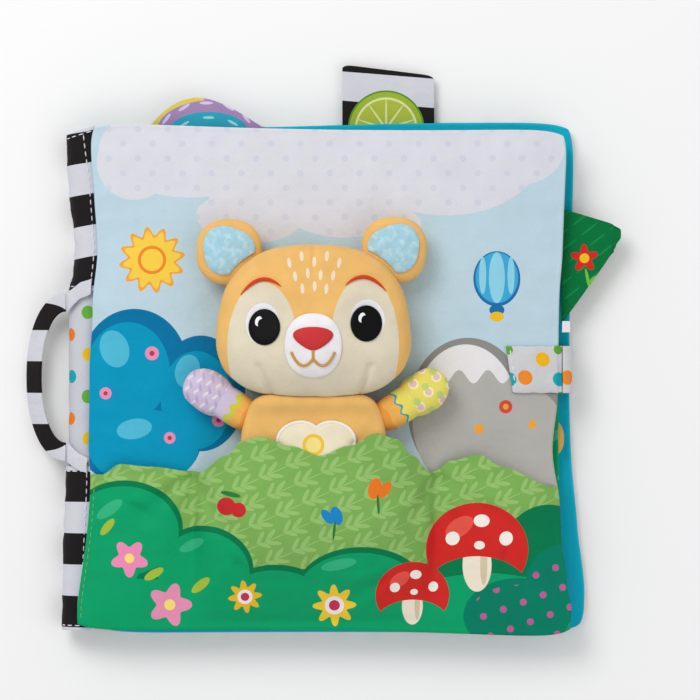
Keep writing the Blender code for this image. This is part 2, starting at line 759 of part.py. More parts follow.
def build_tabs(leaf_hinge, cover_hinge):
    """The arch, striped and corner tabs on their fold lines, and the label and flap at the right."""
    seam = LEAF.edge_y(ARCH_MIDDLE_X - ARCH_HALF_WIDTH)
    arch_fold = Pivot("arch_tab_fold", (ARCH_MIDDLE_X, seam + TAB_SLIT / 2, LEAF_RIM), leaf_hinge)

    def arch_place(u, v):
        x = ARCH_MIDDLE_X + u * ARCH_HALF_WIDTH
        rise = max(TAB_THICK, ARCH_REACH * (1 - abs(u) ** 2.2))
        return x, arch_fold.place.y + TAB_SLIT / 2 + rise * (v + 1) / 2

    flat_tab("arch_tab", arch_place, LEAF_RIM, "purple_satin", arch_fold)

    seam = BACK.edge_y(STRIPED_MIDDLE_X + STRIPED_HALF_WIDTH)
    striped_fold = Pivot("striped_tab_fold", (STRIPED_MIDDLE_X, seam + TAB_SLIT / 2, BACK_RIM))

    def striped_place(u, v):
        x = STRIPED_MIDDLE_X + u * STRIPED_HALF_WIDTH
        reach = STRIPED_REACH - STRIPED_SLOPE * u / 2
        return x, striped_fold.place.y + TAB_SLIT / 2 + reach * (v + 1) / 2

    flat_tab("striped_tab", striped_place, BACK_RIM, "striped_tape", striped_fold)

    seam = LEAF.edge_x(CORNER_HIGH)
    corner_fold = Pivot("corner_tab_fold", (seam + TAB_SLIT / 2, (CORNER_LOW + CORNER_HIGH) / 2, LEAF_RIM),
                        leaf_hinge)

    def corner_place(u, v):
        share = (u + 1) / 2
        low = CORNER_LOW + (CORNER_TIP_LOW - CORNER_LOW) * share
        high = CORNER_HIGH + (CORNER_TIP_HIGH - CORNER_HIGH) * share
        return corner_fold.place.x + TAB_SLIT / 2 + CORNER_REACH * share, low + (high - low) * (v + 1) / 2

    flat_tab("corner_tab", corner_place, LEAF_RIM, "green_satin", corner_fold)

    edge = FRONT.edge_x(LABEL_HIGH) + GAP
    box("side_label", (edge, LABEL_LOW, FRONT_RIM - TAB_THICK / 2),
        (edge + LABEL_REACH, LABEL_HIGH, FRONT_RIM + TAB_THICK / 2), "white_label", cover_hinge)
    edge = LEAF.edge_x(FLAP_LOW) + GAP
    box("orange_flap", (edge, FLAP_LOW, LEAF_RIM - TAB_THICK / 2),
        (edge + FLAP_REACH, FLAP_HIGH, LEAF_RIM + TAB_THICK / 2), "orange_satin", leaf_hinge)


def flat_tab(name, place, level, slot, pivot):
    """A sewn tab that lies flat at a level."""
    return pad(name, place, lambda u, v: level - TAB_THICK / 2, lambda u, v: level + TAB_THICK / 2, slot,
               pivot, TAB_CUTS, 2)


HEAD = Plump((BEAR_X, HEAD_MIDDLE_Y, TOY_FLOOR + HEAD_HALF_DEPTH - HEAD_SINK),
             (HEAD_HALF_WIDTH, HEAD_HALF_HEIGHT, HEAD_HALF_DEPTH), HEAD_FULLNESS, HEAD_TAPER_SHARE,
             floor=TOY_FLOOR, rings=(24, 12))
TORSO = Plump((BEAR_X, TORSO_MIDDLE_Y, TORSO_LEVEL),
              (TORSO_HALF_WIDTH, TORSO_HALF_HEIGHT, TORSO_HALF_DEPTH), TORSO_FULLNESS,
              floor=TOY_FLOOR, rings=(24, 12))


def build_head(bear):
    """The bear's head with its ears and face."""
    neck = Pivot("neck", (BEAR_X, HEAD_MIDDLE_Y - HEAD_HALF_HEIGHT, TORSO_LEVEL + TORSO_HALF_DEPTH), bear)
    finish_piece("bear_head", HEAD.sphere(), "peach_plush", neck)
    head_room = make_cutter("head_room", HEAD.sphere(GAP))
    for side, sign in (("left", -1), ("right", 1)):
        x = BEAR_X + sign * EAR_OUT
        ear = Plump((x, EAR_UP, TOY_FLOOR + EAR_LEVEL), (EAR_RADIUS, EAR_RADIUS, EAR_HALF_DEPTH), 2.3,
                    rings=(18, 8))
        ear_piece = finish_piece("ear_" + side, ear.sphere(), "peach_plush", neck)
        cut(ear_piece, head_room)
        lining_x = x + sign * EAR_LINING_OUT
        lining = ear.patch("ear_lining_" + side, (lining_x, EAR_UP + EAR_LINING_OUT),
                           (EAR_LINING_RADIUS, EAR_LINING_RADIUS), "ear_satin", neck)
        cut(lining, head_room)
        HEAD.patch("eye_" + side, (BEAR_X + sign * EYE_OUT, EYE_UP), (EYE_HALF_WIDTH, EYE_HALF_HEIGHT),
                   "black_thread", neck)
        brow = []
        for step in range(9):
            share = step / 4 - 1
            brow.append((BEAR_X + sign * BROW_OUT + share * BROW_HALF_WIDTH,
                         BROW_UP + BROW_RISE * (1 - share * share)))
        HEAD.stitched_line("brow_" + side, brow, BROW_THREAD_RADIUS, "tan_thread", neck)
    HEAD.patch("muzzle_patch", (BEAR_X, MUZZLE_UP), (MUZZLE_HALF_WIDTH, MUZZLE_HALF_HEIGHT), "cream_plush",
               neck)
    build_nose_and_mouth(neck)


def build_nose_and_mouth(neck):
    """The padded nose and the stitched mouth, both on the muzzle patch."""
    muzzle = Plump(HEAD.middle + Vector((0, 0, GAP + PATCH_THICK)), HEAD.halves, HEAD.fullness, HEAD.taper)
    muzzle.patch("nose", (BEAR_X, NOSE_UP), (NOSE_HALF_WIDTH, NOSE_HALF_HEIGHT), "red_thread", neck,
                 NOSE_TAPER_SHARE, 2 * PATCH_THICK, 6)
    mouth = []
    for step in range(13):
        share = step / 6 - 1
        mouth.append((BEAR_X + share * MOUTH_HALF_WIDTH,
                      MOUTH_UP - MOUTH_DROP * abs(math.sin(math.pi * share))))
    muzzle.stitched_line("mouth", mouth, THREAD_RADIUS, "tan_thread", neck)


def build_torso(bear):
    """The bear's torso with a hollow at its back for the sound module, and the tummy patch."""
    torso = finish_piece("bear_torso", TORSO.sphere(), "peach_plush", bear)
    half = CASE_SIDE / 2 + GAP
    middle = Vector((BEAR_X, TORSO_MIDDLE_Y, 0))
    hollow = box_mesh(middle + Vector((-half, -half, TOY_FLOOR - CUT_OVERRUN)),
                      middle + Vector((half, half, TOY_FLOOR + CASE_DEPTH + GAP)))
    cut(torso, make_cutter("module_hollow", hollow))
    TORSO.patch("tummy_patch", (BEAR_X, BELLY_Y), (BELLY_HALF_WIDTH, BELLY_HALF_HEIGHT), "cream_plush", bear)


def build_arm(side, sign, out, torso_room, bear):
    """One arm: its sleeve, cut to the torso and the paw, and its paw."""
    turn = math.pi - ARM_ANGLE if sign < 0 else ARM_ANGLE
    ahead = Vector((math.cos(turn), math.sin(turn), 0))
    middle = Vector((BEAR_X + sign * out, ARM_Y, TOY_FLOOR + ARM_LEVEL))
    shoulder = Pivot("shoulder_" + side, middle - ahead * SHOULDER_BACK + Vector((0, 0, SHOULDER_RISE)), bear)
    sleeve = Plump(middle, (ARM_HALF_LENGTH, ARM_HALF_WIDTH, ARM_HALF_DEPTH), ARM_FULLNESS, 0, turn,
                   rings=(16, 8))
    paw = Plump(middle + ahead * PAW_AHEAD, (PAW_RADIUS, PAW_RADIUS, PAW_HALF_DEPTH), 2.3, 0, turn,
                TOY_FLOOR, rings=(16, 8))
    sleeve_piece = finish_piece("arm_" + side, sleeve.sphere(), "peach_plush", shoulder)
    cut(sleeve_piece, make_cutter("paw_room_" + side, paw.sphere(GAP)))
    cut(sleeve_piece, torso_room)
    finish_piece("paw_" + side, paw.sphere(), "lilac_plush" if sign < 0 else "yellow_plush", shoulder)


def build_module(bear):
    """The sound module, from its back plate at the bear's back to the button under the tummy."""
    x, y, foot = BEAR_X, TORSO_MIDDLE_Y, TOY_FLOOR + GAP / 2
    half = CASE_SIDE / 2
    top = foot + CASE_DEPTH - GAP / 2
    plate_top = foot + CASE_WALL
    back = box("sound_case_back", (x - half, y - half, foot), (x + half, y + half, plate_top),
               "white_plastic", bear, CASE_CORNER)
    front = box("sound_case_front", (x - half, y - half, plate_top + GAP), (x + half, y + half, top),
                "white_plastic", bear, CASE_CORNER)
    inside = half - CASE_WALL
    cut(front, make_cutter("case_room", box_mesh((x - inside, y - inside, foot - CUT_OVERRUN),
                                                 (x + inside, y + inside, top - CASE_WALL))))
    cut(front, make_cutter("button_hole", disc_mesh((x, y), BUTTON_RADIUS + GAP, foot, top + CUT_OVERRUN)))

    door_half_x, door_half_y, door_y = DOOR_WIDTH / 2, DOOR_HEIGHT / 2, y + DOOR_Y
    cut(back, make_cutter("door_opening", box_mesh(
        (x - door_half_x - GAP, door_y - door_half_y - GAP, foot - CUT_OVERRUN),
        (x + door_half_x + GAP, door_y + door_half_y + GAP, plate_top + CUT_OVERRUN))))
    door = box("battery_door", (x - door_half_x, door_y - door_half_y, foot),
               (x + door_half_x, door_y + door_half_y, plate_top), "white_plastic", bear)
    screw_at = (x + door_half_x - SCREW_INSET, door_y)
    cut(door, make_cutter("screw_hole", disc_mesh(screw_at, SCREW_RADIUS + GAP, foot - CUT_OVERRUN,
                                                  plate_top + CUT_OVERRUN, 12)))
    finish_piece("door_screw", disc_mesh(screw_at, SCREW_RADIUS, foot, plate_top, 12), "steel", bear)

    speaker_at = (x, y + SPEAKER_Y)
    for step in range(5):
        angle = step * 2 * math.pi / 4
        offset = SOUND_HOLE_PITCH if step else 0
        hole_at = (speaker_at[0] + offset * math.cos(angle), speaker_at[1] + offset * math.sin(angle))
        cut(back, make_cutter("sound_hole_%d" % step, disc_mesh(
            hole_at, SOUND_HOLE_RADIUS, foot - CUT_OVERRUN, plate_top + CUT_OVERRUN, 8)))
    seat = plate_top + GAP
    finish_piece("speaker", disc_mesh(speaker_at, SPEAKER_RADIUS, seat, seat + SPEAKER_DEPTH), "grey_plastic",
                 bear)
    for number in (1, 2, 3):
        finish_piece("button_cell_%d" % number,
                     disc_mesh((x + (number - 2) * CELL_PITCH, door_y), CELL_RADIUS, seat, seat + CELL_DEPTH, 16),
                     "steel", bear)
    board_low = seat + max(CELL_DEPTH, SPEAKER_DEPTH) + GAP
    board = BOARD_SIDE / 2
    box("circuit_board", (x - board, y - board, board_low), (x + board, y + board, board_low + BOARD_THICK),
        "green_board", bear)
    build_button(bear, (x, y), top)


def build_button(bear, middle, top):
    """The button, whose rim sits under the case's front wall."""
    stroke = Pivot("tummy_button_stroke", (*middle, top), bear)
    rim_top = top - CASE_WALL - GAP
    bm = disc_mesh(middle, BUTTON_RADIUS + BUTTON_RIM, rim_top - BUTTON_RIM_THICK, rim_top)
    upper = [face for face in bm.faces if face.normal.z > 0.5]
    bmesh.ops.inset_region(bm, faces=upper, thickness=BUTTON_RIM, use_even_offset=True)
    raised = [face for face in bm.faces if face.normal.z > 0.5 and len(face.verts) > 4]
    made = bmesh.ops.extrude_face_region(bm, geom=raised)
    verts = [item for item in made["geom"] if isinstance(item, bmesh.types.BMVert)]
    bmesh.ops.translate(bm, verts=verts, vec=(0, 0, top - rim_top))
    bmesh.ops.delete(bm, geom=raised, context="FACES_ONLY")
    finish_piece("tummy_button", bm, "white_plastic", stroke, smooth=False)


def build_bear(cover_hinge):
    """The plush bear, which slides in the pocket."""
    bear = Pivot("bear_slide", (BEAR_X, TORSO_MIDDLE_Y, TOY_FLOOR), cover_hinge)
    build_torso(bear)
    build_module(bear)
    build_head(bear)
    torso_room = make_cutter("torso_room", TORSO.sphere(GAP))
    build_arm("left", -1, ARM_OUT_LEFT, torso_room, bear)
    build_arm("right", 1, ARM_OUT_RIGHT, torso_room, bear)


def build_book():
    """Build the book from the back cover up."""
    BACK.sew(("back_cover_lining", "back_cover_crinkle_film", "back_cover_wadding", "back_cover_outer"),
             ("teal_satin", "dotted_satin"))
    build_spine()
    build_handle()
    leaf_hinge = Pivot("leaf_hinge", (HINGE_X, 0, HINGE_Z))
    LEAF.sew(("inner_leaf_front", "inner_leaf_crinkle_film", "inner_leaf_wadding", "inner_leaf_back"),
             ("leaf_satin", "leaf_satin"), leaf_hinge)
    cover_hinge = Pivot("cover_hinge", (HINGE_X, 0, HINGE_Z), leaf_hinge)
    FRONT.sew(("front_cover_face", "front_cover_crinkle_film", "front_cover_wadding", "front_cover_lining"),
              ("sky_satin", "teal_satin"), cover_hinge)
    build_pocket(cover_hinge)
    build_strap(cover_hinge)
    build_tabs(leaf_hinge, cover_hinge)
    build_bear(cover_hinge)


build_book()
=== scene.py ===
"""Looks of a crinkle cloth book for a baby: printed satin panels, a plush bear in a pocket, a striped spine.

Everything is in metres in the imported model's own frame: the book lies on its back, +Z is up, +X is to the
reader's right and +Y is to the top of the page. Prints and weaves are drawn in millimetres.
"""

import sys
import logging
import math
from dataclasses import dataclass, field
from enum import Enum
from functools import reduce
from typing import Callable, Iterable, Optional, Sequence

import bmesh
import bpy
import numpy as np
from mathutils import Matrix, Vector


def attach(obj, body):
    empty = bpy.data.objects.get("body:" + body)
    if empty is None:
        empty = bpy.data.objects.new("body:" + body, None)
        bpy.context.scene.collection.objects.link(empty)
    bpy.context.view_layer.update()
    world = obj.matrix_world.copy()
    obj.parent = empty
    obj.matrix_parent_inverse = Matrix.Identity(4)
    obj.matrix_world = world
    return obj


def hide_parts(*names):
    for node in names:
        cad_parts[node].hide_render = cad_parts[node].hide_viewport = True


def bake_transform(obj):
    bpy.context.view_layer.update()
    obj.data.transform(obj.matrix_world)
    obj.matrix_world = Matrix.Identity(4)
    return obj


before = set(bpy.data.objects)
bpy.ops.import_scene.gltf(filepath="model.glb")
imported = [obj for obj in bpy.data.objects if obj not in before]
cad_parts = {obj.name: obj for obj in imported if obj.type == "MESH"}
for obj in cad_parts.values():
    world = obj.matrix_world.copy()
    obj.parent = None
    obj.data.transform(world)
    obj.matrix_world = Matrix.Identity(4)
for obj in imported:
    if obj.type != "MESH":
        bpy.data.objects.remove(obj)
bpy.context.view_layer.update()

LOG = logging.getLogger("cloth_book")
MM = 0.001
GAP = 0.0003  # left between two pieces that lie on each other
CLOTH = 0.0008  # a cloth's thickness
ON_TOP = 0.0002  # how far stitches and stitched patches stand off what carries them
TINY = 1e-12  # keeps a length from being zero where it divides
Grid = np.ndarray
Point2 = tuple[float, float]
Material = bpy.types.Material
Node = bpy.types.Node
Piece = bpy.types.Object
Socket = bpy.types.NodeSocket
Tree = bpy.types.NodeTree


class Side(Enum):
    """Left or right of the bear's middle, with the sign of X."""

    LEFT = -1
    RIGHT = 1

    @property
    def word(self) -> str:
        """The side's word in a piece's name."""
        return self.name.lower()

    @property
    def arm_degrees(self) -> int:
        """The way the arm points, anticlockwise from +X."""
        return 32 if self is Side.RIGHT else 148


class Flat(Enum):
    """Where a print reads its flat coordinates from."""

    ROW_XY = "the cloth's place in the book"
    UV_MM = "the cloth's own length and width"


def linear(code: str) -> tuple[float, float, float, float]:
    """Turn an sRGB hex colour into linear light.

    Args:
        code: a colour such as "#BDD5E1".

    Returns:
        Red, green, blue and an alpha of 1.
    """
    shares = [int(code[i:i + 2], 16) / 255 for i in (1, 3, 5)]
    return (*[c / 12.92 if c <= 0.04045 else ((c + 0.055) / 1.055) ** 2.4 for c in shares], 1.0)


def connect(tree: Tree, node: Node, inputs: dict) -> None:
    """Set or link a node's inputs.

    Args:
        tree: the material's node tree.
        node: the node that takes them.
        inputs: by the input's name or number. A value is set, a socket is linked, and a node is linked by its
            first output.
    """
    for key, value in inputs.items():
        source = value.outputs[0] if isinstance(value, Node) else value
        if isinstance(source, Socket):
            tree.links.new(source, node.inputs[key])
        else:
            node.inputs[key].default_value = source


def add_node(tree: Tree, kind: str, inputs: Optional[dict] = None, **settings: object) -> Node:
    """Add one shader node.

    Args:
        tree: the material's node tree.
        kind: the node's type without the ShaderNode prefix.
        inputs: what connect takes.
        settings: the node's own settings.

    Returns:
        The new node.
    """
    node = tree.nodes.new("ShaderNode" + kind)
    for key, value in settings.items():
        setattr(node, key, value)
    connect(tree, node, inputs or {})
    return node


class Print:
    """Inks laid over each other on a cloth. Coordinates and sizes are in millimetres on the flat cloth."""

    def __init__(self, tree: Tree, point: Socket, ground: str) -> None:
        """Start with an even ground colour.

        Args:
            tree: the material's node tree.
            point: the cloth's flat coordinates.
            ground: the bare cloth's sRGB hex.
        """
        self.tree = tree
        self.point = point
        split = add_node(tree, "SeparateXYZ", {0: point})
        self.x, self.y = split.outputs[0], split.outputs[1]
        self.colour = add_node(tree, "RGB").outputs[0]
        self.colour.default_value = linear(ground)

    def oval(self, x: float, y: float, wide: float, high: float, turn: float = 0,
             point: Optional[Socket] = None) -> Socket:
        """Measure from an oval's middle.

        Args:
            x, y: the middle.
            wide, high: the half sizes.
            turn: degrees anticlockwise.
            point: coordinates to use in place of the cloth's own, as on a repeated tile.

        Returns:
            A distance that is 1 on the oval's edge and less inside.
        """
        moved = add_node(self.tree, "Mapping", {0: point or self.point, 1: (x, y, 0),
                                                2: (0, 0, math.radians(turn)), 3: (wide, high, 1)},
                         vector_type="TEXTURE")
        return add_node(self.tree, "VectorMath", {0: moved}, operation="LENGTH").outputs["Value"]

    def petals(self, x: float, y: float, reach: float, count: int, depth: float = 0.28,
               turn: float = 0) -> Socket:
        """Measure from a flower's or a star's middle: the edge waves in and out count times round.

        Args:
            x, y: the middle.
            reach: from the middle to a petal's tip.
            count: of the petals.
            depth: how far the edge waves in, as a share.
            turn: degrees anticlockwise.

        Returns:
            A distance that is 1 on the petals' edge and less inside.
        """
        moved = add_node(self.tree, "Mapping", {0: self.point, 1: (x, y, 0), 2: (0, 0, math.radians(turn)),
                                                3: (reach, reach, 1)}, vector_type="TEXTURE")
        split = add_node(self.tree, "SeparateXYZ", {0: moved})
        angle = add_node(self.tree, "Math", {0: split.outputs[1], 1: split}, operation="ARCTAN2")
        turns = add_node(self.tree, "Math", {0: angle, 1: float(count)}, operation="MULTIPLY")
        wave = add_node(self.tree, "Math", {0: turns}, operation="COSINE")
        edge = add_node(self.tree, "Math", {0: wave, 1: depth, 2: 1 - depth}, operation="MULTIPLY_ADD")
        away = add_node(self.tree, "VectorMath", {0: moved}, operation="LENGTH")
        return add_node(self.tree, "Math", {0: away.outputs["Value"], 1: edge}, operation="DIVIDE").outputs[0]

    def joined(self, shapes: Sequence[Socket]) -> Socket:
        """Join shapes into one outline."""
        return reduce(lambda a, b: add_node(self.tree, "Math", {0: a, 1: b}, operation="MINIMUM").outputs[0], shapes)

    def shared(self, shapes: Sequence[Socket]) -> Socket:
        """Keep only what all the shapes cover."""
        return reduce(lambda a, b: add_node(self.tree, "Math", {0: a, 1: b}, operation="MAXIMUM").outputs[0], shapes)

    def outside(self, shape: Socket) -> Socket:
        """Turn a shape inside out."""
        return add_node(self.tree, "Math", {0: 2.0, 1: shape}, operation="SUBTRACT").outputs[0]

    def below(self, level: float, rise: float = 0, pitch: float = 100, shift: float = 0) -> Socket:
        """Cover what lies under a waving line.

        Args:
            level: the line's mean Y.
            rise: half the wave's height.
            pitch: the wave's length.
            shift: where a crest lies.

        Returns:
            A distance that is under 1 below the line.
        """
        around = add_node(self.tree, "Math", {0: self.x, 1: 2 * math.pi / pitch, 2: -2 * math.pi * shift / pitch},
                          operation="MULTIPLY_ADD")
        wave = add_node(self.tree, "Math", {0: around}, operation="COSINE")
        line = add_node(self.tree, "Math", {0: wave, 1: rise, 2: level - 1}, operation="MULTIPLY_ADD")
        return add_node(self.tree, "Math", {0: self.y, 1: line}, operation="SUBTRACT").outputs[0]

    def tile(self, wide: float, high: float, shift: Point2 = (0, 0), turn: float = 0) -> Socket:
        """Repeat the cloth's coordinates over tiles, each with its middle at zero.

        Args:
            wide, high: a tile's size.
            shift: where the middle of a tile lies.
            turn: degrees anticlockwise.

        Returns:
            The coordinates on each tile.
        """
        moved = add_node(self.tree, "Mapping", {0: self.point, 1: (*shift, 0), 2: (0, 0, math.radians(turn))},
                         vector_type="TEXTURE")
        return add_node(self.tree, "VectorMath", {0: moved, 1: (wide / 2, high / 2, 1),
                                                  2: (-wide / 2, -high / 2, -1)}, operation="WRAP").outputs[0]

    def ink(self, shape: Socket, colour: str, share: float = 1) -> None:
        """Print one colour inside a shape.

        Args:
            shape: a distance that is under 1 inside.
            colour: sRGB hex.
            share: how fully the ink covers.
        """
        inside = add_node(self.tree, "Math", {0: shape, 1: 1.0}, operation="LESS_THAN").outputs[0]
        if share < 1:
            inside = add_node(self.tree, "Math", {0: inside, 1: share}, operation="MULTIPLY").outputs[0]
        self.colour = add_node(self.tree, "Mix", {0: inside, 6: self.colour, 7: linear(colour)},
                               data_type="RGBA").outputs[2]

    def oval_ink(self, colour: str, *ovals: Sequence[float]) -> None:
        """Print one colour over several ovals, each given as x, y, half width, half height and turn."""
        self.ink(self.joined([self.oval(*oval) for oval in ovals]), colour)


Artwork = Callable[[Print], None]


@dataclass(frozen=True)
class Finish:
    """How one material is made and looks. Sizes are in millimetres."""

    name: str
    ground: str

    def points(self, tree: Tree, flat: Flat) -> tuple[Socket, Socket]:
        """The flat coordinates for prints and the solid ones for grain, both in millimetres.

        Args:
            tree: the material's node tree.
            flat: where the print's coordinates come from.

        Returns:
            The flat coordinates and the solid ones.
        """
        place = add_node(tree, "TexCoord")
        solid = add_node(tree, "VectorMath", {0: place.outputs["Object"], "Scale": 1 / MM}, operation="SCALE")
        if flat is Flat.UV_MM:
            return place.outputs["UV"], solid.outputs[0]
        level = add_node(tree, "VectorMath", {0: solid, 1: (1, 1, 0)}, operation="MULTIPLY")
        return level.outputs[0], solid.outputs[0]

    def printed(self, tree: Tree, flat: Flat, art: Optional[Artwork]) -> tuple[Print, Socket]:
        """Lay a print on the ground colour.

        Args:
            tree: the material's node tree.
            flat: where the print's coordinates come from.
            art: draws the print, if there is one.

        Returns:
            The print and the solid coordinates.
        """
        point, solid = self.points(tree, flat)
        inks = Print(tree, point, self.ground)
        if art:
            art(inks)
        return inks, solid

    def new_tree(self) -> tuple[Material, Tree, Node]:
        """A material with its tree and its main shader.

        Returns:
            The material, its tree and its main shader.
        """
        made = bpy.data.materials.new(self.name)
        made.use_nodes = True
        made.diffuse_color = linear(self.ground)
        return made, made.node_tree, made.node_tree.nodes["Principled BSDF"]


@dataclass(frozen=True)
class WovenSatin(Finish):
    """Polyester satin, woven and heat-printed: soft gloss, fine threads and small crinkles.

    The real threads lie about 0.12 mm apart, too fine to show, so they are drawn at thread_mm.
    """

    art: Optional[Artwork] = None
    flat: Flat = Flat.ROW_XY
    thread_mm: float = 0.7
    crinkle_mm: float = 14.0
    crinkle_depth_mm: float = 2.2
    roughness: float = 0.68

    def material(self) -> Material:
        """Print the cloth and give it its weave, crinkles and sheen.

        Returns:
            The finished material.
        """
        made, tree, shader = self.new_tree()
        art, solid = self.printed(tree, self.flat, self.art)
        cloud = add_node(tree, "TexNoise", {"Vector": solid, "Scale": 1 / self.crinkle_mm, "Detail": 4.0,
                                            "Roughness": 0.55})
        tone = add_node(tree, "MapRange", {0: cloud, 1: 0.3, 2: 0.7, 3: 0.965, 4: 1.02})
        shade = add_node(tree, "HueSaturation", {"Value": tone, "Color": art.colour})
        pitch = 2 * math.pi / self.thread_mm
        warp = add_node(tree, "Math", {0: art.x, 1: pitch}, operation="MULTIPLY")
        weft = add_node(tree, "Math", {0: art.y, 1: pitch}, operation="MULTIPLY")
        warp_wave = add_node(tree, "Math", {0: warp}, operation="SINE")
        weft_wave = add_node(tree, "Math", {0: weft}, operation="SINE")
        threads = add_node(tree, "Math", {0: warp_wave, 1: weft_wave},
                           operation="MULTIPLY")
        ridged = add_node(tree, "Bump", {"Strength": 0.12, "Distance": 0.08 * MM, "Height": threads})
        creased = add_node(tree, "Bump", {"Strength": 0.5, "Distance": self.crinkle_depth_mm * MM,
                                          "Height": cloud, "Normal": ridged})
        connect(tree, shader, {"Base Color": shade, "Normal": creased, "Roughness": self.roughness,
                               "Sheen Weight": 0.02, "Sheen Roughness": 0.4, "Specular IOR Level": 0.10})
        return made


@dataclass(frozen=True)
class ShortPlush(Finish):
    """Knitted polyester plush with a short pile: it scatters light, with faint brushed patches.

    The pile is about 1 mm high, and its tufts are drawn at tuft_mm.
    """

    art: Optional[Artwork] = None
    tuft_mm: float = 0.8
    printed_above_mm: float = -1.0

    def material(self) -> Material:
        """Give the plush its pile and its brushed patches.

        Returns:
            The finished material.
        """
        made, tree, shader = self.new_tree()
        art, solid = self.printed(tree, Flat.ROW_XY, self.art)
        if self.art:
            level = add_node(tree, "SeparateXYZ", {0: solid})
            behind = add_node(tree, "MapRange", {0: level.outputs[2], 1: self.printed_above_mm - 0.4,
                                                 2: self.printed_above_mm + 0.4, 3: 0.0, 4: 2.0})
            art.ink(behind.outputs[0], self.ground)
        tufts = add_node(tree, "TexNoise", {"Vector": solid, "Scale": 1 / self.tuft_mm, "Detail": 3.0,
                                            "Roughness": 0.6})
        brushed = add_node(tree, "TexNoise", {"Vector": solid, "Scale": 1 / (12 * self.tuft_mm), "Detail": 2.0})
        both = add_node(tree, "Math", {0: tufts, 1: 0.35, 2: brushed},
                        operation="MULTIPLY_ADD")
        tone = add_node(tree, "MapRange", {0: both, 1: 0.45, 2: 0.9, 3: 0.93, 4: 1.04})
        shade = add_node(tree, "HueSaturation", {"Value": tone, "Color": art.colour})
        pile = add_node(tree, "Bump", {"Strength": 0.45, "Distance": 0.35 * MM, "Height": tufts})
        connect(tree, shader, {"Base Color": shade, "Normal": pile, "Roughness": 0.95, "Sheen Weight": 0.08,
                               "Sheen Roughness": 0.55, "Specular IOR Level": 0.05})
        return made


@dataclass(frozen=True)
class Embroidery(Finish):
    """Rayon satin stitch: glossy parallel threads that lie across the shape, drawn at thread_mm."""

    art: Optional[Artwork] = None
    thread_mm: float = 0.45
    turn: float = 90.0

    def material(self) -> Material:
        """Give the stitches their ridges and gloss.

        Returns:
            The finished material.
        """
        made, tree, shader = self.new_tree()
        art, solid = self.printed(tree, Flat.ROW_XY, self.art)
        turned = add_node(tree, "Mapping", {0: solid, 2: (0, 0, math.radians(self.turn))})
        lines = add_node(tree, "TexWave", {"Vector": turned, "Scale": 1 / (3.2 * self.thread_mm),
                                           "Distortion": 0.6, "Detail": 1.0})
        ridges = add_node(tree, "Bump", {"Strength": 0.35, "Distance": 0.12 * MM, "Height": lines.outputs["Fac"]})
        connect(tree, shader, {"Base Color": art.colour, "Normal": ridges, "Roughness": 0.5,
                               "Specular IOR Level": 0.12})
        return made


@dataclass(frozen=True)
class Moulded(Finish):
    """A hard part: moulded ABS, a plated steel can, or a solder-masked board. grain_mm is its surface grain."""

    roughness: float = 0.45
    metallic: float = 0.0
    grain_mm: float = 0.5
    brushed: bool = False

    def material(self) -> Material:
        """Give the part its grain, as fine as a spark-eroded mould or a rolled can leaves it.

        Returns:
            The finished material.
        """
        made, tree, shader = self.new_tree()
        _, solid = self.points(tree, Flat.ROW_XY)
        stretch = (1.0, 12.0, 1.0) if self.brushed else (1.0, 1.0, 1.0)
        scaled = add_node(tree, "Mapping", {0: solid, 3: stretch})
        grain = add_node(tree, "TexNoise", {"Vector": scaled, "Scale": 1 / self.grain_mm, "Detail": 2.0})
        tone = add_node(tree, "MapRange", {0: grain, 1: 0.3, 2: 0.7, 3: 0.94, 4: 1.03})
        shade = add_node(tree, "HueSaturation", {"Value": tone, "Color": linear(self.ground)})
        gloss = add_node(tree, "MapRange", {0: grain, 1: 0.3, 2: 0.7, 3: self.roughness - 0.05,
                                            4: self.roughness + 0.08})
        bump = add_node(tree, "Bump", {"Strength": 0.15, "Distance": 0.05 * MM, "Height": grain})
        connect(tree, shader, {"Base Color": shade, "Roughness": gloss, "Normal": bump, "Metallic": self.metallic})
        return made


def ease(share: Grid) -> Grid:
    """Ease from 0 to 1."""
    share = np.clip(share, 0, 1)
    return share * share * (3 - 2 * share)


def along_knots(knots: Sequence[Point2], place: Grid) -> Grid:
    """Values on a smooth line through knots, each a place and its value.

    Args:
        knots: each a place and its value, in order.
        place: where the line is read.

    Returns:
        The line's value at each place.
    """
    table = np.array(knots)
    place = np.clip(place, table[0, 0], table[-1, 0])
    index = np.clip(np.searchsorted(table[:, 0], place, side="left") - 1, 0, len(table) - 2)
    left, right = table[index], table[index + 1]
    share = ease((place - left[..., 0]) / (right[..., 0] - left[..., 0]))
    return left[..., 1] + (right[..., 1] - left[..., 1]) * share


def turned_by(x: Grid, y: Grid, angle: float) -> tuple[Grid, Grid]:
    """Lengths along and across a direction, which is an angle from +X in radians."""
    return x * math.cos(angle) + y * math.sin(angle), y * math.cos(angle) - x * math.sin(angle)


def ripple(x: Grid, y: Grid, pitch: float, seed: float) -> Grid:
    """Smooth, uneven ripples between -1 and 1, made of crossing waves.

    Args:
        x, y: places in metres.
        pitch: the mean length of a ripple.
        seed: picks another pattern.

    Returns:
        The height share at each place.
    """
    total = np.zeros_like(np.asarray(x, float))
    for step in range(5):
        angle = seed * 1.7 + step * 2.399
        wave = 2 * math.pi / (pitch * (1 + 0.31 * math.sin(seed + 3.1 * step)))
        along, across = turned_by(x, y, angle)
        total = total + np.sin(along * wave + 1.3 * np.sin(across * wave * 0.53 + seed + step) + 5.1 * step * seed)
    return total / 5


def grid_shares(across: int, up: int) -> tuple[Grid, Grid]:
    """Two arrays of shares from -1 to 1, for a sheet with that many squares each way."""
    return np.meshgrid(np.linspace(-1, 1, across + 1), np.linspace(-1, 1, up + 1), indexing="ij")


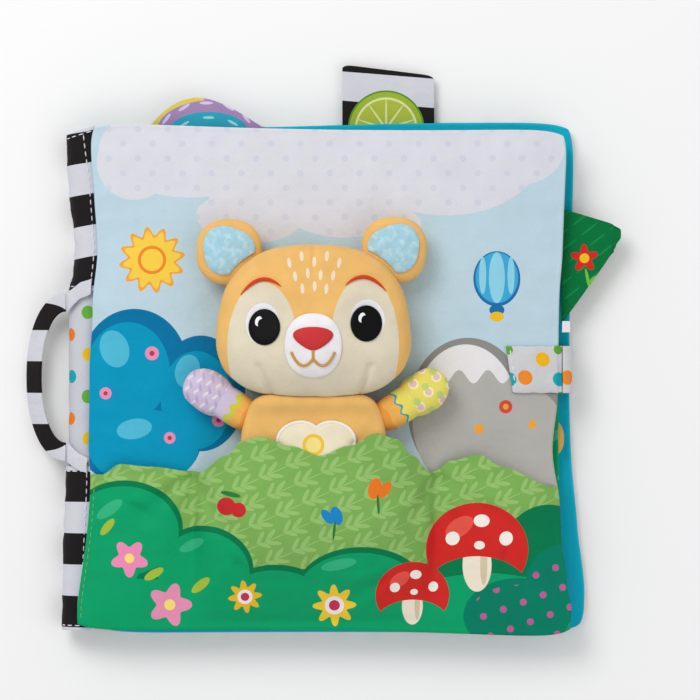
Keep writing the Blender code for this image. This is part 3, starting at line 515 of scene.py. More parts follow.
def surface_normals(points: Grid) -> Grid:
    """Unit normals of a grid of points, pointing to the side from which the grid runs anticlockwise."""
    normals = np.cross(np.gradient(points, axis=0), np.gradient(points, axis=1))
    return normals / np.maximum(np.linalg.norm(normals, axis=2, keepdims=True), TINY)


def lengths_along(points: Grid, axis: int) -> Grid:
    """Measure a cloth along one way of its grid.

    Args:
        points: the grid of points.
        axis: 0 along the columns, 1 along the rows.

    Returns:
        The length on the cloth from the middle to each point.
    """
    steps = np.linalg.norm(np.diff(points, axis=axis), axis=2)
    zero = np.zeros_like(np.take(steps, [0], axis=axis))
    run = np.cumsum(np.concatenate([zero, steps], axis=axis), axis=axis)
    return run - np.take(run, [run.shape[axis] // 2], axis=axis)


def flat_millimetres(points: Grid) -> Grid:
    """Length and width on the cloth of each point of a grid, in millimetres from its middle."""
    return np.stack([lengths_along(points, 0), lengths_along(points, 1)], axis=2) / MM


def run_along(path: Grid) -> Grid:
    """Length along a path up to each of its points."""
    return np.concatenate([[0], np.cumsum(np.linalg.norm(np.diff(path, axis=0), axis=1))])


def unit_vector(vector: Grid) -> Grid:
    """The vector at a length of 1."""
    return vector / max(np.linalg.norm(vector), TINY)


def squares(grid: Grid) -> Grid:
    """The four point numbers of each square in a grid of numbers."""
    return np.stack([grid[:-1, :-1], grid[1:, :-1], grid[1:, 1:], grid[:-1, 1:]], axis=2).reshape(-1, 4)


def shell_faces(columns: int, rows: int) -> Grid:
    """Join two grids of points, numbered one after the other, into a closed shell.

    Args:
        columns, rows: the size of each grid.

    Returns:
        Four point numbers for each face.
    """
    count = columns * rows
    grid = np.arange(count).reshape(columns, rows)
    edges = ((grid[:-1, 0], grid[1:, 0]), (grid[1:, -1], grid[:-1, -1]),
             (grid[-1, :-1], grid[-1, 1:]), (grid[0, 1:], grid[0, :-1]))
    rims = [np.stack([b, a, a + count, b + count], axis=1) for a, b in edges]
    return np.concatenate([squares(grid), squares(grid)[:, ::-1] + count, *rims])


def tube_faces(first: int, rings: int, sides: int) -> list[tuple[int, ...]]:
    """Join rings of points into a closed tube.

    Args:
        first: number of the first point.
        rings: how many follow each other.
        sides: points in a ring.

    Returns:
        The point numbers of each face.
    """
    faces = []
    for ring in range(rings - 1):
        for turn in range(sides):
            a, b = (first + ring * sides + step for step in (turn, (turn + 1) % sides))
            faces.append((a, b, b + sides, a + sides))
    last = first + (rings - 1) * sides
    return faces + [tuple(first + turn for turn in reversed(range(sides))),
                    tuple(last + turn for turn in range(sides))]


def add_object(name: str, data: bpy.types.ID) -> Piece:
    """Put a mesh, a lamp or a camera into the scene.

    Args:
        name: the object's name.
        data: what it shows.

    Returns:
        The object.
    """
    piece = bpy.data.objects.new(name, data)
    bpy.context.scene.collection.objects.link(piece)
    return piece


def add_mesh(name: str, verts: Iterable, faces: Iterable, materials: Sequence[Material],
             smooth: bool = True) -> Piece:
    """Make a mesh object from points and faces, shaded smooth.

    Args:
        name: the object's name.
        verts: the points.
        faces: point numbers of each face.
        materials: its finishes.
        smooth: shade it smooth.

    Returns:
        The object, linked to the scene.
    """
    mesh = bpy.data.meshes.new(name)
    mesh.from_pydata([tuple(v) for v in verts], [], [tuple(f) for f in faces])
    for made in materials:
        mesh.materials.append(made)
    if smooth:
        mesh.shade_smooth()
    return add_object(name, mesh)


def cloth_shell(name: str, points: Grid, thick: float, material: Material, offset: float = -1) -> Piece:
    """Make a closed cloth from a grid of points, with a rounded edge.

    Args:
        name: the piece's name.
        points: places of the cloth's outer side, as an array of columns, rows and XYZ.
        thick: the cloth's thickness.
        material: its finish.
        offset: -1 puts the thickness behind the surface, 1 before it.

    Returns:
        The piece, with its flat size in millimetres as UV coordinates.
    """
    other = points + surface_normals(points) * (offset * thick)
    faces = shell_faces(*points.shape[:2])
    if offset > 0:
        faces = faces[:, ::-1]
    verts = np.concatenate([points.reshape(-1, 3), other.reshape(-1, 3)])
    piece = add_mesh(name, verts.tolist(), faces.tolist(), [material])
    flat = np.tile(flat_millimetres(points).reshape(-1, 2), (2, 1))
    layer = piece.data.uv_layers.new(name="flat_mm")
    corners = np.zeros(len(piece.data.loops), int)
    piece.data.loops.foreach_get("vertex_index", corners)
    layer.data.foreach_set("uv", flat[corners].astype(np.float32).ravel())
    round_rim(piece, thick)
    return piece


def round_rim(piece: Piece, thick: float) -> None:
    """Round the sharp rim of a thin piece.

    Args:
        piece: the thin piece.
        thick: its thickness.
    """
    bevel = piece.modifiers.new("rim", "BEVEL")
    bevel.width = thick * 0.3
    bevel.segments = 2
    bevel.limit_method = "ANGLE"
    bevel.angle_limit = math.radians(50)


STITCH_RINGS = ((0.0, 0.25, -1.1), (0.18, 0.9, -0.2), (0.5, 1.0, 0.15), (0.82, 0.9, -0.2), (1.0, 0.25, -1.1))


def stitches(name: str, path: Grid, material: Material, length: float = 0.0024, gap: float = 0.0010,
             radius: float = 0.00032, sides: int = 6) -> Piece:
    """Make a row of sewn stitches along a path: short capsules that dip at both ends.

    Each of STITCH_RINGS is a place along the stitch, its share of the thread's width, and its lift in radii.

    Args:
        name: the piece's name.
        path: points on the cloth, XYZ.
        material: the thread.
        length, gap: of a stitch and between two.
        radius: of the thread.
        sides: round the thread.

    Returns:
        All the stitches as one piece.
    """
    run = run_along(path)
    count = max(1, int(run[-1] / (length + gap)))
    pitch = run[-1] / count
    verts, faces = [], []
    for number in range(count):
        begin = number * pitch + gap / 2
        places = [np.array([np.interp(begin + share * (pitch - gap), run, path[:, axis]) for axis in range(3)])
                  for share, _, _ in STITCH_RINGS]
        ahead = unit_vector(places[-1] - places[0])
        side = unit_vector(np.cross(ahead, (0, 0, 1)))
        above = np.cross(side, ahead)
        faces += tube_faces(len(verts), len(STITCH_RINGS), sides)
        for place, (_, wide, lift) in zip(places, STITCH_RINGS):
            for turn in range(sides):
                angle = 2 * math.pi * turn / sides
                verts.append(place + radius * (side * math.cos(angle) * wide
                                               + above * (math.sin(angle) * wide + lift)))
    return outward(add_mesh(name, verts, faces, [material]))


def outward(piece: Piece) -> Piece:
    """Turn a closed mesh's faces to point out.

    Args:
        piece: the closed piece.

    Returns:
        The same piece.
    """
    bm = bmesh.new()
    bm.from_mesh(piece.data)
    bmesh.ops.recalc_face_normals(bm, faces=bm.faces)
    if bm.calc_volume(signed=True) < 0:
        bmesh.ops.reverse_faces(bm, faces=bm.faces)
    bm.to_mesh(piece.data)
    bm.free()
    return piece


def bent_on(piece: Piece, slot: str, *nodes: str, start: float = -0.1160) -> Piece:
    """Bake a piece's place into its mesh and hide the solids that it stands for.

    Args:
        piece: what is sewn on.
        slot: not used.
        nodes: the solids that it stands for.
        start: not used.

    Returns:
        The same piece.
    """
    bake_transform(piece)
    if nodes:
        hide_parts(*nodes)
    LOG.info("%s bends between back_cover and inner_leaf", piece.name)
    return piece


def folded_on(piece: Piece, bodies: Sequence[str],
              node: str) -> Piece:
    """Bake a piece's place into its mesh and hide the solid that it stands for.

    Args:
        piece: the piece.
        bodies: not used.
        node: the solid that it stands for.

    Returns:
        The same piece.
    """
    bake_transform(piece)
    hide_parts(node)
    return piece


def sewn_on(piece: Piece, body: str, slot: str, *nodes: str) -> Piece:
    """Attach a piece to what it rides on, and hide the solids that it stands for.

    Args:
        piece: what is sewn on.
        body: what carries it.
        slot: not used.
        nodes: the solids that it stands for.

    Returns:
        The same piece.
    """
    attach(piece, body)
    if nodes:
        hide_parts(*nodes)
    LOG.info("%s rides on %s", piece.name, body)
    return piece


def sample(values: Grid, u: Grid, v: Grid) -> Grid:
    """Read a coarse grid of values between its points, at shares from -1 to 1.

    Args:
        values: the coarse grid.
        u, v: shares from -1 to 1.

    Returns:
        The value at each pair of shares.
    """
    columns, rows = values.shape
    a = np.clip((u + 1) / 2 * (columns - 1), 0, columns - 1.001)
    b = np.clip((v + 1) / 2 * (rows - 1), 0, rows - 1.001)
    i, j = a.astype(int), b.astype(int)
    fa, fb = ease(a - i), ease(b - j)
    low = values[i, j] * (1 - fa) + values[i + 1, j] * fa
    high = values[i, j + 1] * (1 - fa) + values[i + 1, j + 1] * fa
    return low * (1 - fb) + high * fb


def smoothed(values: Grid, rounds: int) -> Grid:
    """Smooth a grid of values, with its edge left as it is.

    Args:
        values: the grid.
        rounds: how often it is smoothed.

    Returns:
        The smoothed grid.
    """
    values = values.copy()
    for _ in range(rounds):
        values[1:-1] = (values[:-2] + 2 * values[1:-1] + values[2:]) / 4
        values[:, 1:-1] = (values[:, :-2] + 2 * values[:, 1:-1] + values[:, 2:]) / 4
    return values


def inflate(top: Grid, bottom: Grid, pressure: float, slack: float, frames: int = 20) -> tuple[Grid, Grid]:
    """Blow up a thin sewn pad with the cloth solver, its seam held.

    Args:
        top, bottom: the pad's two faces as grids of points that share their edge.
        pressure: inside the pad.
        slack: how much longer the cloth is cut than the pad, as a share.
        frames: steps of the solver.

    Returns:
        The two faces after the last step.
    """
    columns, rows = top.shape[:2]
    upper = np.arange(columns * rows).reshape(columns, rows)
    lower = upper.copy()
    inner = (columns - 2) * (rows - 2)
    lower[1:-1, 1:-1] = columns * rows + np.arange(inner).reshape(columns - 2, rows - 2)
    verts = np.concatenate([top.reshape(-1, 3), bottom[1:-1, 1:-1].reshape(-1, 3)])
    faces = np.concatenate([squares(upper), squares(lower)[:, ::-1]])
    pad = add_mesh("pad_being_filled", verts.tolist(), faces.tolist(), [])
    seam = pad.vertex_groups.new(name="seam")
    edge = np.unique(np.concatenate([upper[0], upper[-1], upper[:, 0], upper[:, -1]]))
    seam.add([int(i) for i in edge], 1.0, "REPLACE")
    cloth = pad.modifiers.new("cloth", "CLOTH")
    for key, value in {"quality": 4, "mass": 0.2, "tension_stiffness": 12, "compression_stiffness": 12,
                       "shear_stiffness": 4, "bending_stiffness": 0.05, "vertex_group_mass": "seam",
                       "shrink_min": -slack, "use_pressure": True, "uniform_pressure_force": pressure}.items():
        setattr(cloth.settings, key, value)
    cloth.settings.effector_weights.gravity = 0
    cloth.point_cache.frame_end = frames
    scene = bpy.context.scene
    for number in range(1, frames + 1):
        scene.frame_set(number)
    evaluated = pad.evaluated_get(bpy.context.evaluated_depsgraph_get())
    places = np.array([v.co for v in evaluated.data.vertices], float)
    bpy.data.objects.remove(pad)
    scene.frame_set(1)
    return places[upper], places[lower]


LEFT_EDGE = ((-0.115, -0.0027), (-0.069, -0.0032), (-0.047, -0.0031), (-0.028, -0.0045), (0.004, -0.0044),
             (0.032, -0.0026), (0.061, 0.0006), (0.085, 0.0002), (0.112, -0.0009))
RIGHT_EDGE = ((-0.115, 0.0034), (-0.104, 0.0020), (-0.091, -0.0002), (-0.072, -0.0017), (-0.045, -0.0010),
              (-0.028, -0.0009), (0.037, -0.0012), (0.057, -0.0005), (0.090, -0.0009), (0.115, -0.0004))
BACK_RIGHT_EDGE = ((-0.115, 0.0034), (-0.098, 0.0026), (-0.065, 0.0008), (-0.035, -0.0002), (0.115, 0.0))


@dataclass
class Panel:
    """One sewn panel: an upper and a lower cloth, turned at their seam, over crinkle film and wadding."""

    name: str
    half_width: float
    half_height: float
    pinch_sides: float
    pinch_ends: float
    rim: float
    swell_up: float
    swell_down: float
    seed: float
    crown_power: int = 4
    columns: int = 88
    rows: int = 92
    waist: float = 0.0
    flare: float = 0.0
    tilt: float = 0.0
    spread: float = 0.0
    left_edge: tuple = ((-1, 0), (1, 0))
    right_edge: tuple = ((-1, 0), (1, 0))
    corner_cut: float = 0.0035
    corner_power: int = 12
    edge_radius: float = 0.0016
    pucker: float = 0.0006
    swollen: dict[str, Grid] = field(default_factory=dict)

    def place(self, u: Grid, v: Grid) -> tuple[Grid, Grid]:
        """X and Y of a share of the panel, drawn in at the sides and flared as the photograph shows.

        Args:
            u, v: shares of the panel.

        Returns:
            X and Y.
        """
        corner = self.corner_cut * (u * v) ** self.corner_power * np.where((u > 0) & (v < 0), 1.25, 1)
        x = u * (self.half_width - self.pinch_sides * (1 - v * v)) - np.sign(u) * corner
        y = v * (self.half_height - self.pinch_ends * (1 - u * u)) - np.sign(v) * corner
        x = x - self.waist * ease(u) * np.exp(-((y + 0.032) / 0.017) ** 2)
        x = x - self.flare * ease(-u) ** 4 * ease((-v - 0.35) / 0.65) ** 2
        x = x + along_knots(self.left_edge, y) * ease(-u) ** 4 + along_knots(self.right_edge, y) * ease(u) ** 4
        x = x + self.spread * ease(u) ** 2 * (0.5 + 0.5 * ease(-v))
        y = y + 0.35 * self.spread * ease(v) ** 2 * ease((u + 0.4) / 0.8)
        return x, y - self.tilt * u * np.abs(v) ** 3

    def crown(self, u: Grid, v: Grid) -> Grid:
        """Share of the full swell."""
        return (1 - np.abs(u) ** self.crown_power) * (1 - np.abs(v) ** self.crown_power)

    def shares(self, x: Grid, y: Grid) -> tuple[Grid, Grid]:
        """The shares at X and Y.

        Args:
            x, y: places in metres.

        Returns:
            The panel's shares there.
        """
        x, y = np.asarray(x, float), np.asarray(y, float)
        u, v = x / self.half_width, y / self.half_height
        for _ in range(6):
            there_x, there_y = self.place(u, v)
            u = np.clip(u + (x - there_x) / self.half_width, -1, 1)
            v = np.clip(v + (y - there_y) / self.half_height, -1, 1)
        return u, v

    def from_rim(self, u: Grid, v: Grid) -> Grid:
        """Distance to the nearest seam."""
        return np.minimum((1 - np.abs(u)) * self.half_width, (1 - np.abs(v)) * self.half_height)

    def turned(self, u: Grid, v: Grid) -> Grid:
        """Share of the cloth's thickness that stands over the seam: a quarter round at the edge."""
        share = np.clip(self.from_rim(u, v) / self.edge_radius, 0, 1)
        return np.sqrt(np.clip(1 - (1 - share) ** 2, 0, 1))

    def puckers(self, u: Grid, v: Grid) -> Grid:
        """Depth of the small folds that run in from the seams.

        Args:
            u, v: shares of the panel.

        Returns:
            The depth in metres.
        """
        x, y = self.place(u, v)
        at_side = np.exp(-(1 - np.abs(u)) * self.half_width / 0.014)
        at_end = np.exp(-(1 - np.abs(v)) * self.half_height / 0.014)
        side_folds = 0.5 + 0.5 * ripple(x * 0.15, y, 0.0105, self.seed)
        end_folds = 0.5 + 0.5 * ripple(x, y * 0.15, 0.0115, self.seed + 2)
        return self.pucker * (at_side * side_folds + at_end * end_folds) * ease(self.from_rim(u, v) / 0.003)

    def swell(self, up: bool, u: Grid, v: Grid) -> Grid:
        """How far a face stands off the seam's level, cloth included.

        Args:
            up: the upper face, or else the lower.
            u, v: shares of the panel.

        Returns:
            The height in metres.
        """
        height = self.swell_up if up else self.swell_down
        filled = self.crown(u, v)
        if self.swollen:
            filled = filled * sample(self.swollen["up" if up else "down"], u, v)
        return self.turned(u, v) * (GAP / 2 + CLOTH) + height * filled

    def upper(self, u: Grid, v: Grid) -> Grid:
        """Level of the upper face."""
        swell = self.swell(True, u, v)
        return self.rim + np.maximum(swell - self.puckers(u, v), 0.65 * swell)

    def lower(self, u: Grid, v: Grid) -> Grid:
        """Level of the lower face, which doesn't dip below the table."""
        swell = self.swell(False, u, v)
        return np.maximum(0, self.rim - np.maximum(swell - self.puckers(u, v), 0.65 * swell))

    def top_at(self, x: Grid, y: Grid) -> Grid:
        """Level of the upper face at X and Y."""
        return self.upper(*self.shares(x, y))

    def fill(self) -> None:
        """Fill the panel with the cloth solver, and keep how its faces swell against an even crown."""
        u, v = grid_shares(40, 42)
        x, y = self.place(u, v)
        rise = 0.55 * self.crown(u, v)
        top = np.stack([x, y, self.rim + self.swell_up * rise], axis=2)
        bottom = np.stack([x, y, self.rim - self.swell_down * rise], axis=2)
        top, bottom = inflate(top, bottom, pressure=4, slack=0.035)
        for key, face, sign in (("up", top, 1), ("down", bottom, -1)):
            height = np.clip(sign * (face[:, :, 2] - self.rim), 0, 0.016)
            even = np.maximum(self.crown(u, v), 0.12)
            ratio = height / even
            ratio = np.clip(ratio / np.percentile(ratio[4:-4, 4:-4], 90), 0.55, 1.04)
            self.swollen[key] = smoothed(ratio, 1)

    def face_grid(self, up: bool, inset: float = 1.0, drop: float = 0.0) -> Grid:
        """A grid of points on one face.

        Args:
            up: the upper face, or else the lower.
            inset: share of the panel that is covered.
            drop: distance behind the face.

        Returns:
            The points, as columns, rows and XYZ.
        """
        s, t = grid_shares(self.columns, self.rows)
        u, v = (share * (1.5 - 0.5 * share * share) * inset for share in (s, t))
        x, y = self.place(u, v)
        z = self.upper(u, v) - drop if up else self.lower(u, v) + drop
        return np.stack([x, y, z], axis=2)

    def sew(self, upper: Material, lower: Material, wadding: Material, film: Material, words: Sequence[str],
            slots: Sequence[str]) -> None:
        """Make the two cloths, the film and the wadding.

        Args:
            upper, lower, wadding, film: their finishes.
            words: end the names of the solids that the upper and the lower cloth stand for.
            slots: the finish names of the upper and the lower cloth.
        """
        top = cloth_shell(self.name + "_upper_cloth", self.face_grid(True), CLOTH * 0.6, upper)
        low = cloth_shell(self.name + "_lower_cloth", self.face_grid(False), CLOTH * 0.6, lower, offset=1)
        inside = self.face_grid(True, inset=0.9, drop=CLOTH + GAP)[::3, ::3]
        floor = self.face_grid(False, inset=0.9, drop=CLOTH + GAP)[::3, ::3]
        between = (inside[:, :, 2] + floor[:, :, 2]) / 2
        inside[:, :, 2] = np.maximum(inside[:, :, 2], between + 0.0001)
        floor[:, :, 2] = np.minimum(floor[:, :, 2], between - 0.0002)
        crumpled = inside.copy()
        crumple = 0.0002 * (1 + ripple(inside[:, :, 0], inside[:, :, 1], 0.009, self.seed + 5))
        crumpled[:, :, 2] = np.maximum(inside[:, :, 2] - crumple, between + 0.00005)
        sheet = cloth_shell(self.name + "_film_sheet", crumpled, 0.00015, film)
        packed = inside.copy()
        packed[:, :, 2] = np.maximum(inside[:, :, 2] - 0.0009, between - 0.0001)
        batting = closed_pad(self.name + "_batting_pad", packed, floor, wadding)
        sewn_on(top, self.name, slots[0], self.name + "_" + words[0])
        sewn_on(low, self.name, slots[1], self.name + "_" + words[1])
        sewn_on(batting, self.name, "wadding", self.name + "_wadding")
        sewn_on(sheet, self.name, "crinkle_film", self.name + "_crinkle_film")


def closed_pad(name: str, top: Grid, bottom: Grid, material: Material) -> Piece:
    """Make a closed pad between two grids of points of one size."""
    verts = np.concatenate([top.reshape(-1, 3), bottom.reshape(-1, 3)])
    return outward(add_mesh(name, verts.tolist(), shell_faces(*top.shape[:2]).tolist(), [material]))


@dataclass
class Spine:
    """The dotted gusset that joins the covers, with a striped sleeve at each end."""

    level: float = 0.0083
    bulge: float = 0.0095
    rise: float = 0.0068
    leg: float = 0.0013
    left: float = -0.1093
    half_height: float = 0.1130
    upper_end: float = 0.0400
    lower_end: float = -0.0390
    leg_share: float = 0.2
    hem: float = 0.0022
    stitch: tuple = (0.0024, 0.0012, 0.00024)
    lean: tuple = ((-0.113, 0.0015), (-0.075, 0.0010), (-0.045, 0.0), (-0.034, -0.0005), (0.036, -0.0005),
                   (0.0425, -0.0020), (0.049, -0.0038), (0.058, -0.0042), (0.070, -0.0034), (0.084, -0.0018),
                   (0.098, -0.0008), (0.113, -0.0004))

    def leaning(self, y: Grid) -> Grid:
        """How much further than its bulge the spine stands out at Y, as the photograph shows."""
        return along_knots(self.lean, y)

    def lip(self, y: Grid) -> Grid:
        """X of the front cover's left edge, under which the spine's upper leg ends."""
        return self.left + 0.0049 * (1 - (y / 0.115) ** 2) + 0.0004 + along_knots(LEFT_EDGE, y)

    def points(self, low: float, high: float, growth: float, columns: int, rows: int, ripples: float) -> Grid:
        """A grid of points bent round the spine, from the lower leg round to the upper one.

        Args:
            low, high: Y of the two ends.
            growth: distance off the gusset's own surface.
            columns, rows: squares round the spine and along it.
            ripples: height of the cloth's slack.

        Returns:
            The points, as columns, rows and XYZ.
        """
        s, t = grid_shares(columns, rows)
        y = low + (high - low) * (t + 1) / 2
        on_arc = np.clip(s / (1 - self.leg_share), -1, 1) * math.pi / 2
        past = np.clip((np.abs(s) - 1 + self.leg_share) / self.leg_share, 0, 1)
        slack = ripples * ripple(on_arc * 0.006, y, 0.013, 4.2) * np.cos(on_arc)
        bulge, rise = self.bulge + growth + slack + self.leaning(y), self.rise + growth
        under = np.where(s > 0, self.lip(y) + 0.0032 - self.left, self.leg)
        x = self.left - bulge * np.cos(on_arc) + under * past
        z = self.level + rise * np.sin(on_arc) + 0.0002 * ripples / 0.0005 * ripple(x, y, 0.010, 7.7) * past
        skew = 0.17 * ease((y - 0.040) / 0.020) + 0.12 * ease((y - 0.090) / 0.020)
        return np.stack([x, y + skew * (x - self.left + 0.0030), z], axis=2)

    def sew(self, dotted: Material, striped: Material, thread: Material) -> None:
        """Make the gusset, the sleeves, their hems and their stitching.

        Args:
            dotted, striped, thread: the finishes of the gusset, the sleeves and the stitches.
        """
        points = self.points(-self.half_height, self.half_height, 0, 36, 150, 0.0003)
        gusset = cloth_shell("spine_gusset_cloth", points, CLOTH * 0.7, dotted)
        bent_on(gusset, "dotted_satin", "spine_gusset")
        for name, low, high in (("upper", self.upper_end, self.half_height),
                                ("lower", -self.half_height, self.lower_end)):
            points = self.points(low, high, GAP + CLOTH, 36, 60, 0.0005)
            sleeve = cloth_shell("spine_stripes_" + name, points, CLOTH * 0.7, striped)
            bent_on(sleeve, "striped_tape", "spine_stripe_" + name)
            inner, outer = (low, high) if name == "upper" else (high, low)
            for word, y in (("inner", inner), ("outer", outer)):
                at = y + (self.hem if y == low else -self.hem)
                ring = self.points(at, at, GAP + CLOTH + ON_TOP, 40, 1, 0)[6:-1, 0]
                row = stitches("spine_%s_%s_stitches" % (name, word), ring, thread, *self.stitch)
                bent_on(row, "striped_tape")
            y = np.linspace(low + 0.002, high - 0.002, 50)
            edge = np.stack([self.lip(y) - 0.0018, y, np.full(50, self.level + self.rise + GAP + CLOTH + ON_TOP)], 1)
            bent_on(stitches("spine_%s_edge_stitches" % name, edge, thread, *self.stitch), "striped_tape")


@dataclass
class Handle:
    """The carrying loop of striped tape, and its two ends sewn over the spine."""

    spine: Spine
    width: float = 0.0085
    thick: float = 0.0012
    fold_angle: float = math.radians(34)
    seam_angle: float = math.radians(87)
    folds: tuple = (0.0350, -0.0325)
    seams: tuple = (0.0425, -0.0390)
    reach: float = 0.0150
    tip_height: float = 0.0022
    fullness: float = 2.1
    slit: float = 0.0008

    def over_spine(self, angle: Grid, lift: float) -> tuple[Grid, Grid]:
        """X and Z over the spine's sleeve.

        Args:
            angle: round the spine from its outermost line.
            lift: distance off the sleeve.

        Returns:
            X and Z.
        """
        growth = GAP + CLOTH + lift
        x = self.spine.left - (self.spine.bulge + growth) * np.cos(angle)
        return x, self.spine.level + (self.spine.rise + growth) * np.sin(angle)

    def make(self, tape: Material, white_tape: Material) -> None:
        """Make the loop and its ends, which lie in a white band.

        Args:
            tape, white_tape: the finishes of the loop and of its ends.
        """
        for name, fold, seam in zip(("upper", "lower"), self.folds, self.seams):
            s, t = grid_shares(20, 6)
            share = (s + 1) / 2
            angle = self.fold_angle + (self.seam_angle - self.fold_angle) * share
            x, z = self.over_spine(angle, GAP)
            y = fold + (seam - fold) * share + t * self.width / 2 * (1 - 0.22 * share)
            x = x - self.spine.leaning(y) * np.cos(angle)
            x = x + ease((share - 0.7) / 0.3) * (self.spine.lip(y) - 0.0012 - x)
            points = np.stack([x, y, z + 0.00025 * (1 - t ** 2)], axis=2)
            end = cloth_shell("handle_tape_end_" + name, points, self.thick, white_tape, offset=1)
            bent_on(end, "striped_tape", "handle_end_" + name, start=-0.1135)
        hinge_x, hinge_z = self.over_spine(np.array(self.fold_angle), GAP + self.thick / 2)
        start = float(hinge_x) - self.slit
        middle, half = sum(self.folds) / 2, (self.folds[0] - self.folds[1]) / 2
        s, t = grid_shares(110, 8)
        angle = s * math.pi / 2
        wide = self.width / 2 * (1 - 0.18 * np.cos(angle) ** 2)
        out = (self.reach + t * wide) * np.abs(np.cos(angle)) ** (2 / self.fullness)
        along = (half + t * wide) * np.sign(angle) * np.abs(np.sin(angle)) ** (2 / self.fullness)
        drop = float(hinge_z) - self.thick / 2 - self.tip_height
        twist = 0.0016 * np.cos(angle) ** 2
        z = float(hinge_z) - drop * out / (self.reach + self.width / 2) + self.thick / 2 + t * -twist + twist
        points = np.stack([start - out, middle + along, z + 0.0003 * (1 - t ** 2)], axis=2)
        loop = cloth_shell("handle_tape_loop", points, self.thick, tape)
        sewn_on(loop, "handle", "striped_tape", "handle_loop")


@dataclass
class GrassPocket:
    """The printed cloth over the lower part of the front cover, open at its wavy top edge."""

    cover: Panel
    middle_x: float = -0.0072
    half_bulge: float = 0.0540
    dome_foot: float = 0.1080
    dome_full: float = 0.0550
    dome: float = 0.0215
    lobe: float = 0.0035
    mouth_shares: tuple = (
        (-1.00, -0.370), (-0.92, -0.328), (-0.78, -0.338), (-0.565, -0.358), (-0.44, -0.290), (-0.37, -0.232),
        (-0.30, -0.216), (-0.165, -0.252), (-0.04, -0.290), (0.085, -0.252), (0.20, -0.204), (0.295, -0.226),
        (0.36, -0.290), (0.445, -0.360), (0.545, -0.313), (0.67, -0.290), (0.79, -0.340), (1.00, -0.420),
    )

    def mouth(self, x: Grid) -> Grid:
        """Y of the top edge at X."""
        return along_knots(self.mouth_shares, x / self.cover.half_width) * self.cover.half_height

    def puff(self, x: Grid, y: Grid) -> Grid:
        """How far the cloth stands off the cover: a dome over the torso and a lobe at each side.

        Args:
            x, y: places on the cloth.

        Returns:
            The height in metres.
        """
        depth = np.sin(math.pi / 2 * np.clip((y + self.dome_foot) / (self.dome_foot - self.dome_full), 0, 1))
        away = (x - self.middle_x) / self.half_bulge
        dome = self.dome * (1 - np.clip(np.abs(away), 0, 1) ** 4)
        side = self.cover.half_width - self.cover.pinch_sides
        valley = self.middle_x + np.sign(away) * self.half_bulge
        share = np.clip((x - valley) / (np.sign(away) * side - valley), 0, 1)
        return np.where(np.abs(away) < 1, dome, self.lobe * np.sin(math.pi * share)) * depth

    def folds(self, x: Grid, y: Grid) -> Grid:
        """Creases that run down and out from the two drawn-in valleys, and soft slack between them.

        Args:
            x, y: places on the cloth.

        Returns:
            The height in metres, below 0 in a crease.
        """
        total = 0.00045 * ripple(x, y, 0.028, 1.3) + 0.0002 * ripple(x, y, 0.011, 2.2)
        for at_x, at_y, angle, depth, reach in (
                (-0.0615, -0.0420, -96, 0.0026, 0.050), (-0.0600, -0.0440, -62, 0.0020, 0.040),
                (-0.0640, -0.0440, -140, 0.0024, 0.034), (0.0485, -0.0420, -78, 0.0026, 0.050),
                (0.0500, -0.0440, -36, 0.0027, 0.046), (0.0470, -0.0440, -118, 0.0020, 0.036),
                (0.0520, -0.0430, -12, 0.0014, 0.030), (-0.0050, -0.0560, -88, 0.0008, 0.030),
                (-0.0420, -0.0800, -60, 0.0015, 0.030), (-0.0900, -0.0560, -30, 0.0012, 0.030),
                (0.0250, -0.0880, -150, 0.0013, 0.036), (0.0800, -0.0760, -100, 0.0014, 0.030)):
            along, across = turned_by(x - at_x, y - at_y, math.radians(angle))
            wide = 0.0018 + 0.09 * np.clip(along, 0, 1)
            fade = np.exp(-np.clip(along, 0, 1) / (reach * 0.6)) * ease((along + 0.004) / 0.008)
            total = total - depth * fade * np.exp(-(across / wide) ** 2)
            total = total + 0.5 * depth * fade * np.exp(-((np.abs(across) - 2 * wide) / wide) ** 2)
        return 1.35 * total

    def points(self, columns: int = 170, rows: int = 84) -> Grid:
        """Places on the cloth's outer side.

        Args:
            columns, rows: squares each way.

        Returns:
            The points, as columns, rows and XYZ.
        """
        s, t = grid_shares(columns, rows)
        u = s * (1.25 - 0.25 * s * s)
        side_x, bottom = self.cover.place(u, -np.ones_like(u))
        y = bottom + (self.mouth(side_x) - bottom) * (t + 1) / 2
        x, _ = self.cover.place(u, y / self.cover.half_height)
        at_seam = np.minimum((1 - np.abs(u)) * self.cover.half_width, (y - bottom))
        loose = ease(at_seam / 0.010)
        puff = self.puff(x, y)
        room = np.clip(puff / 0.004, 0.35, 1)
        z = self.cover.top_at(x, y) + GAP + CLOTH + puff + self.folds(x, y) * loose * room + 0.0006 * loose
        lip = ease((t * rows / 2 - rows / 2 + 5) / 5)
        return np.stack([x, y, z + 0.0005 * lip], axis=2)

    def sew(self, printed: Material, thread: Material) -> None:
        """Make the cloth with its hem along the mouth.

        Args:
            printed, thread: the finishes of the cloth and its stitches.
        """
        points = self.points()
        pocket = cloth_shell("grass_pocket_cloth", points, CLOTH, printed)
        sewn_on(pocket, "front_cover", "grass_satin", "grass_pocket")
        side = points[1, 3:-3] + np.array([0.0012, 0, 0.0002])
        sewn_on(stitches("pocket_side_stitches", side, thread, 0.0022, 0.0010, 0.0002), "front_cover", "grass_satin")


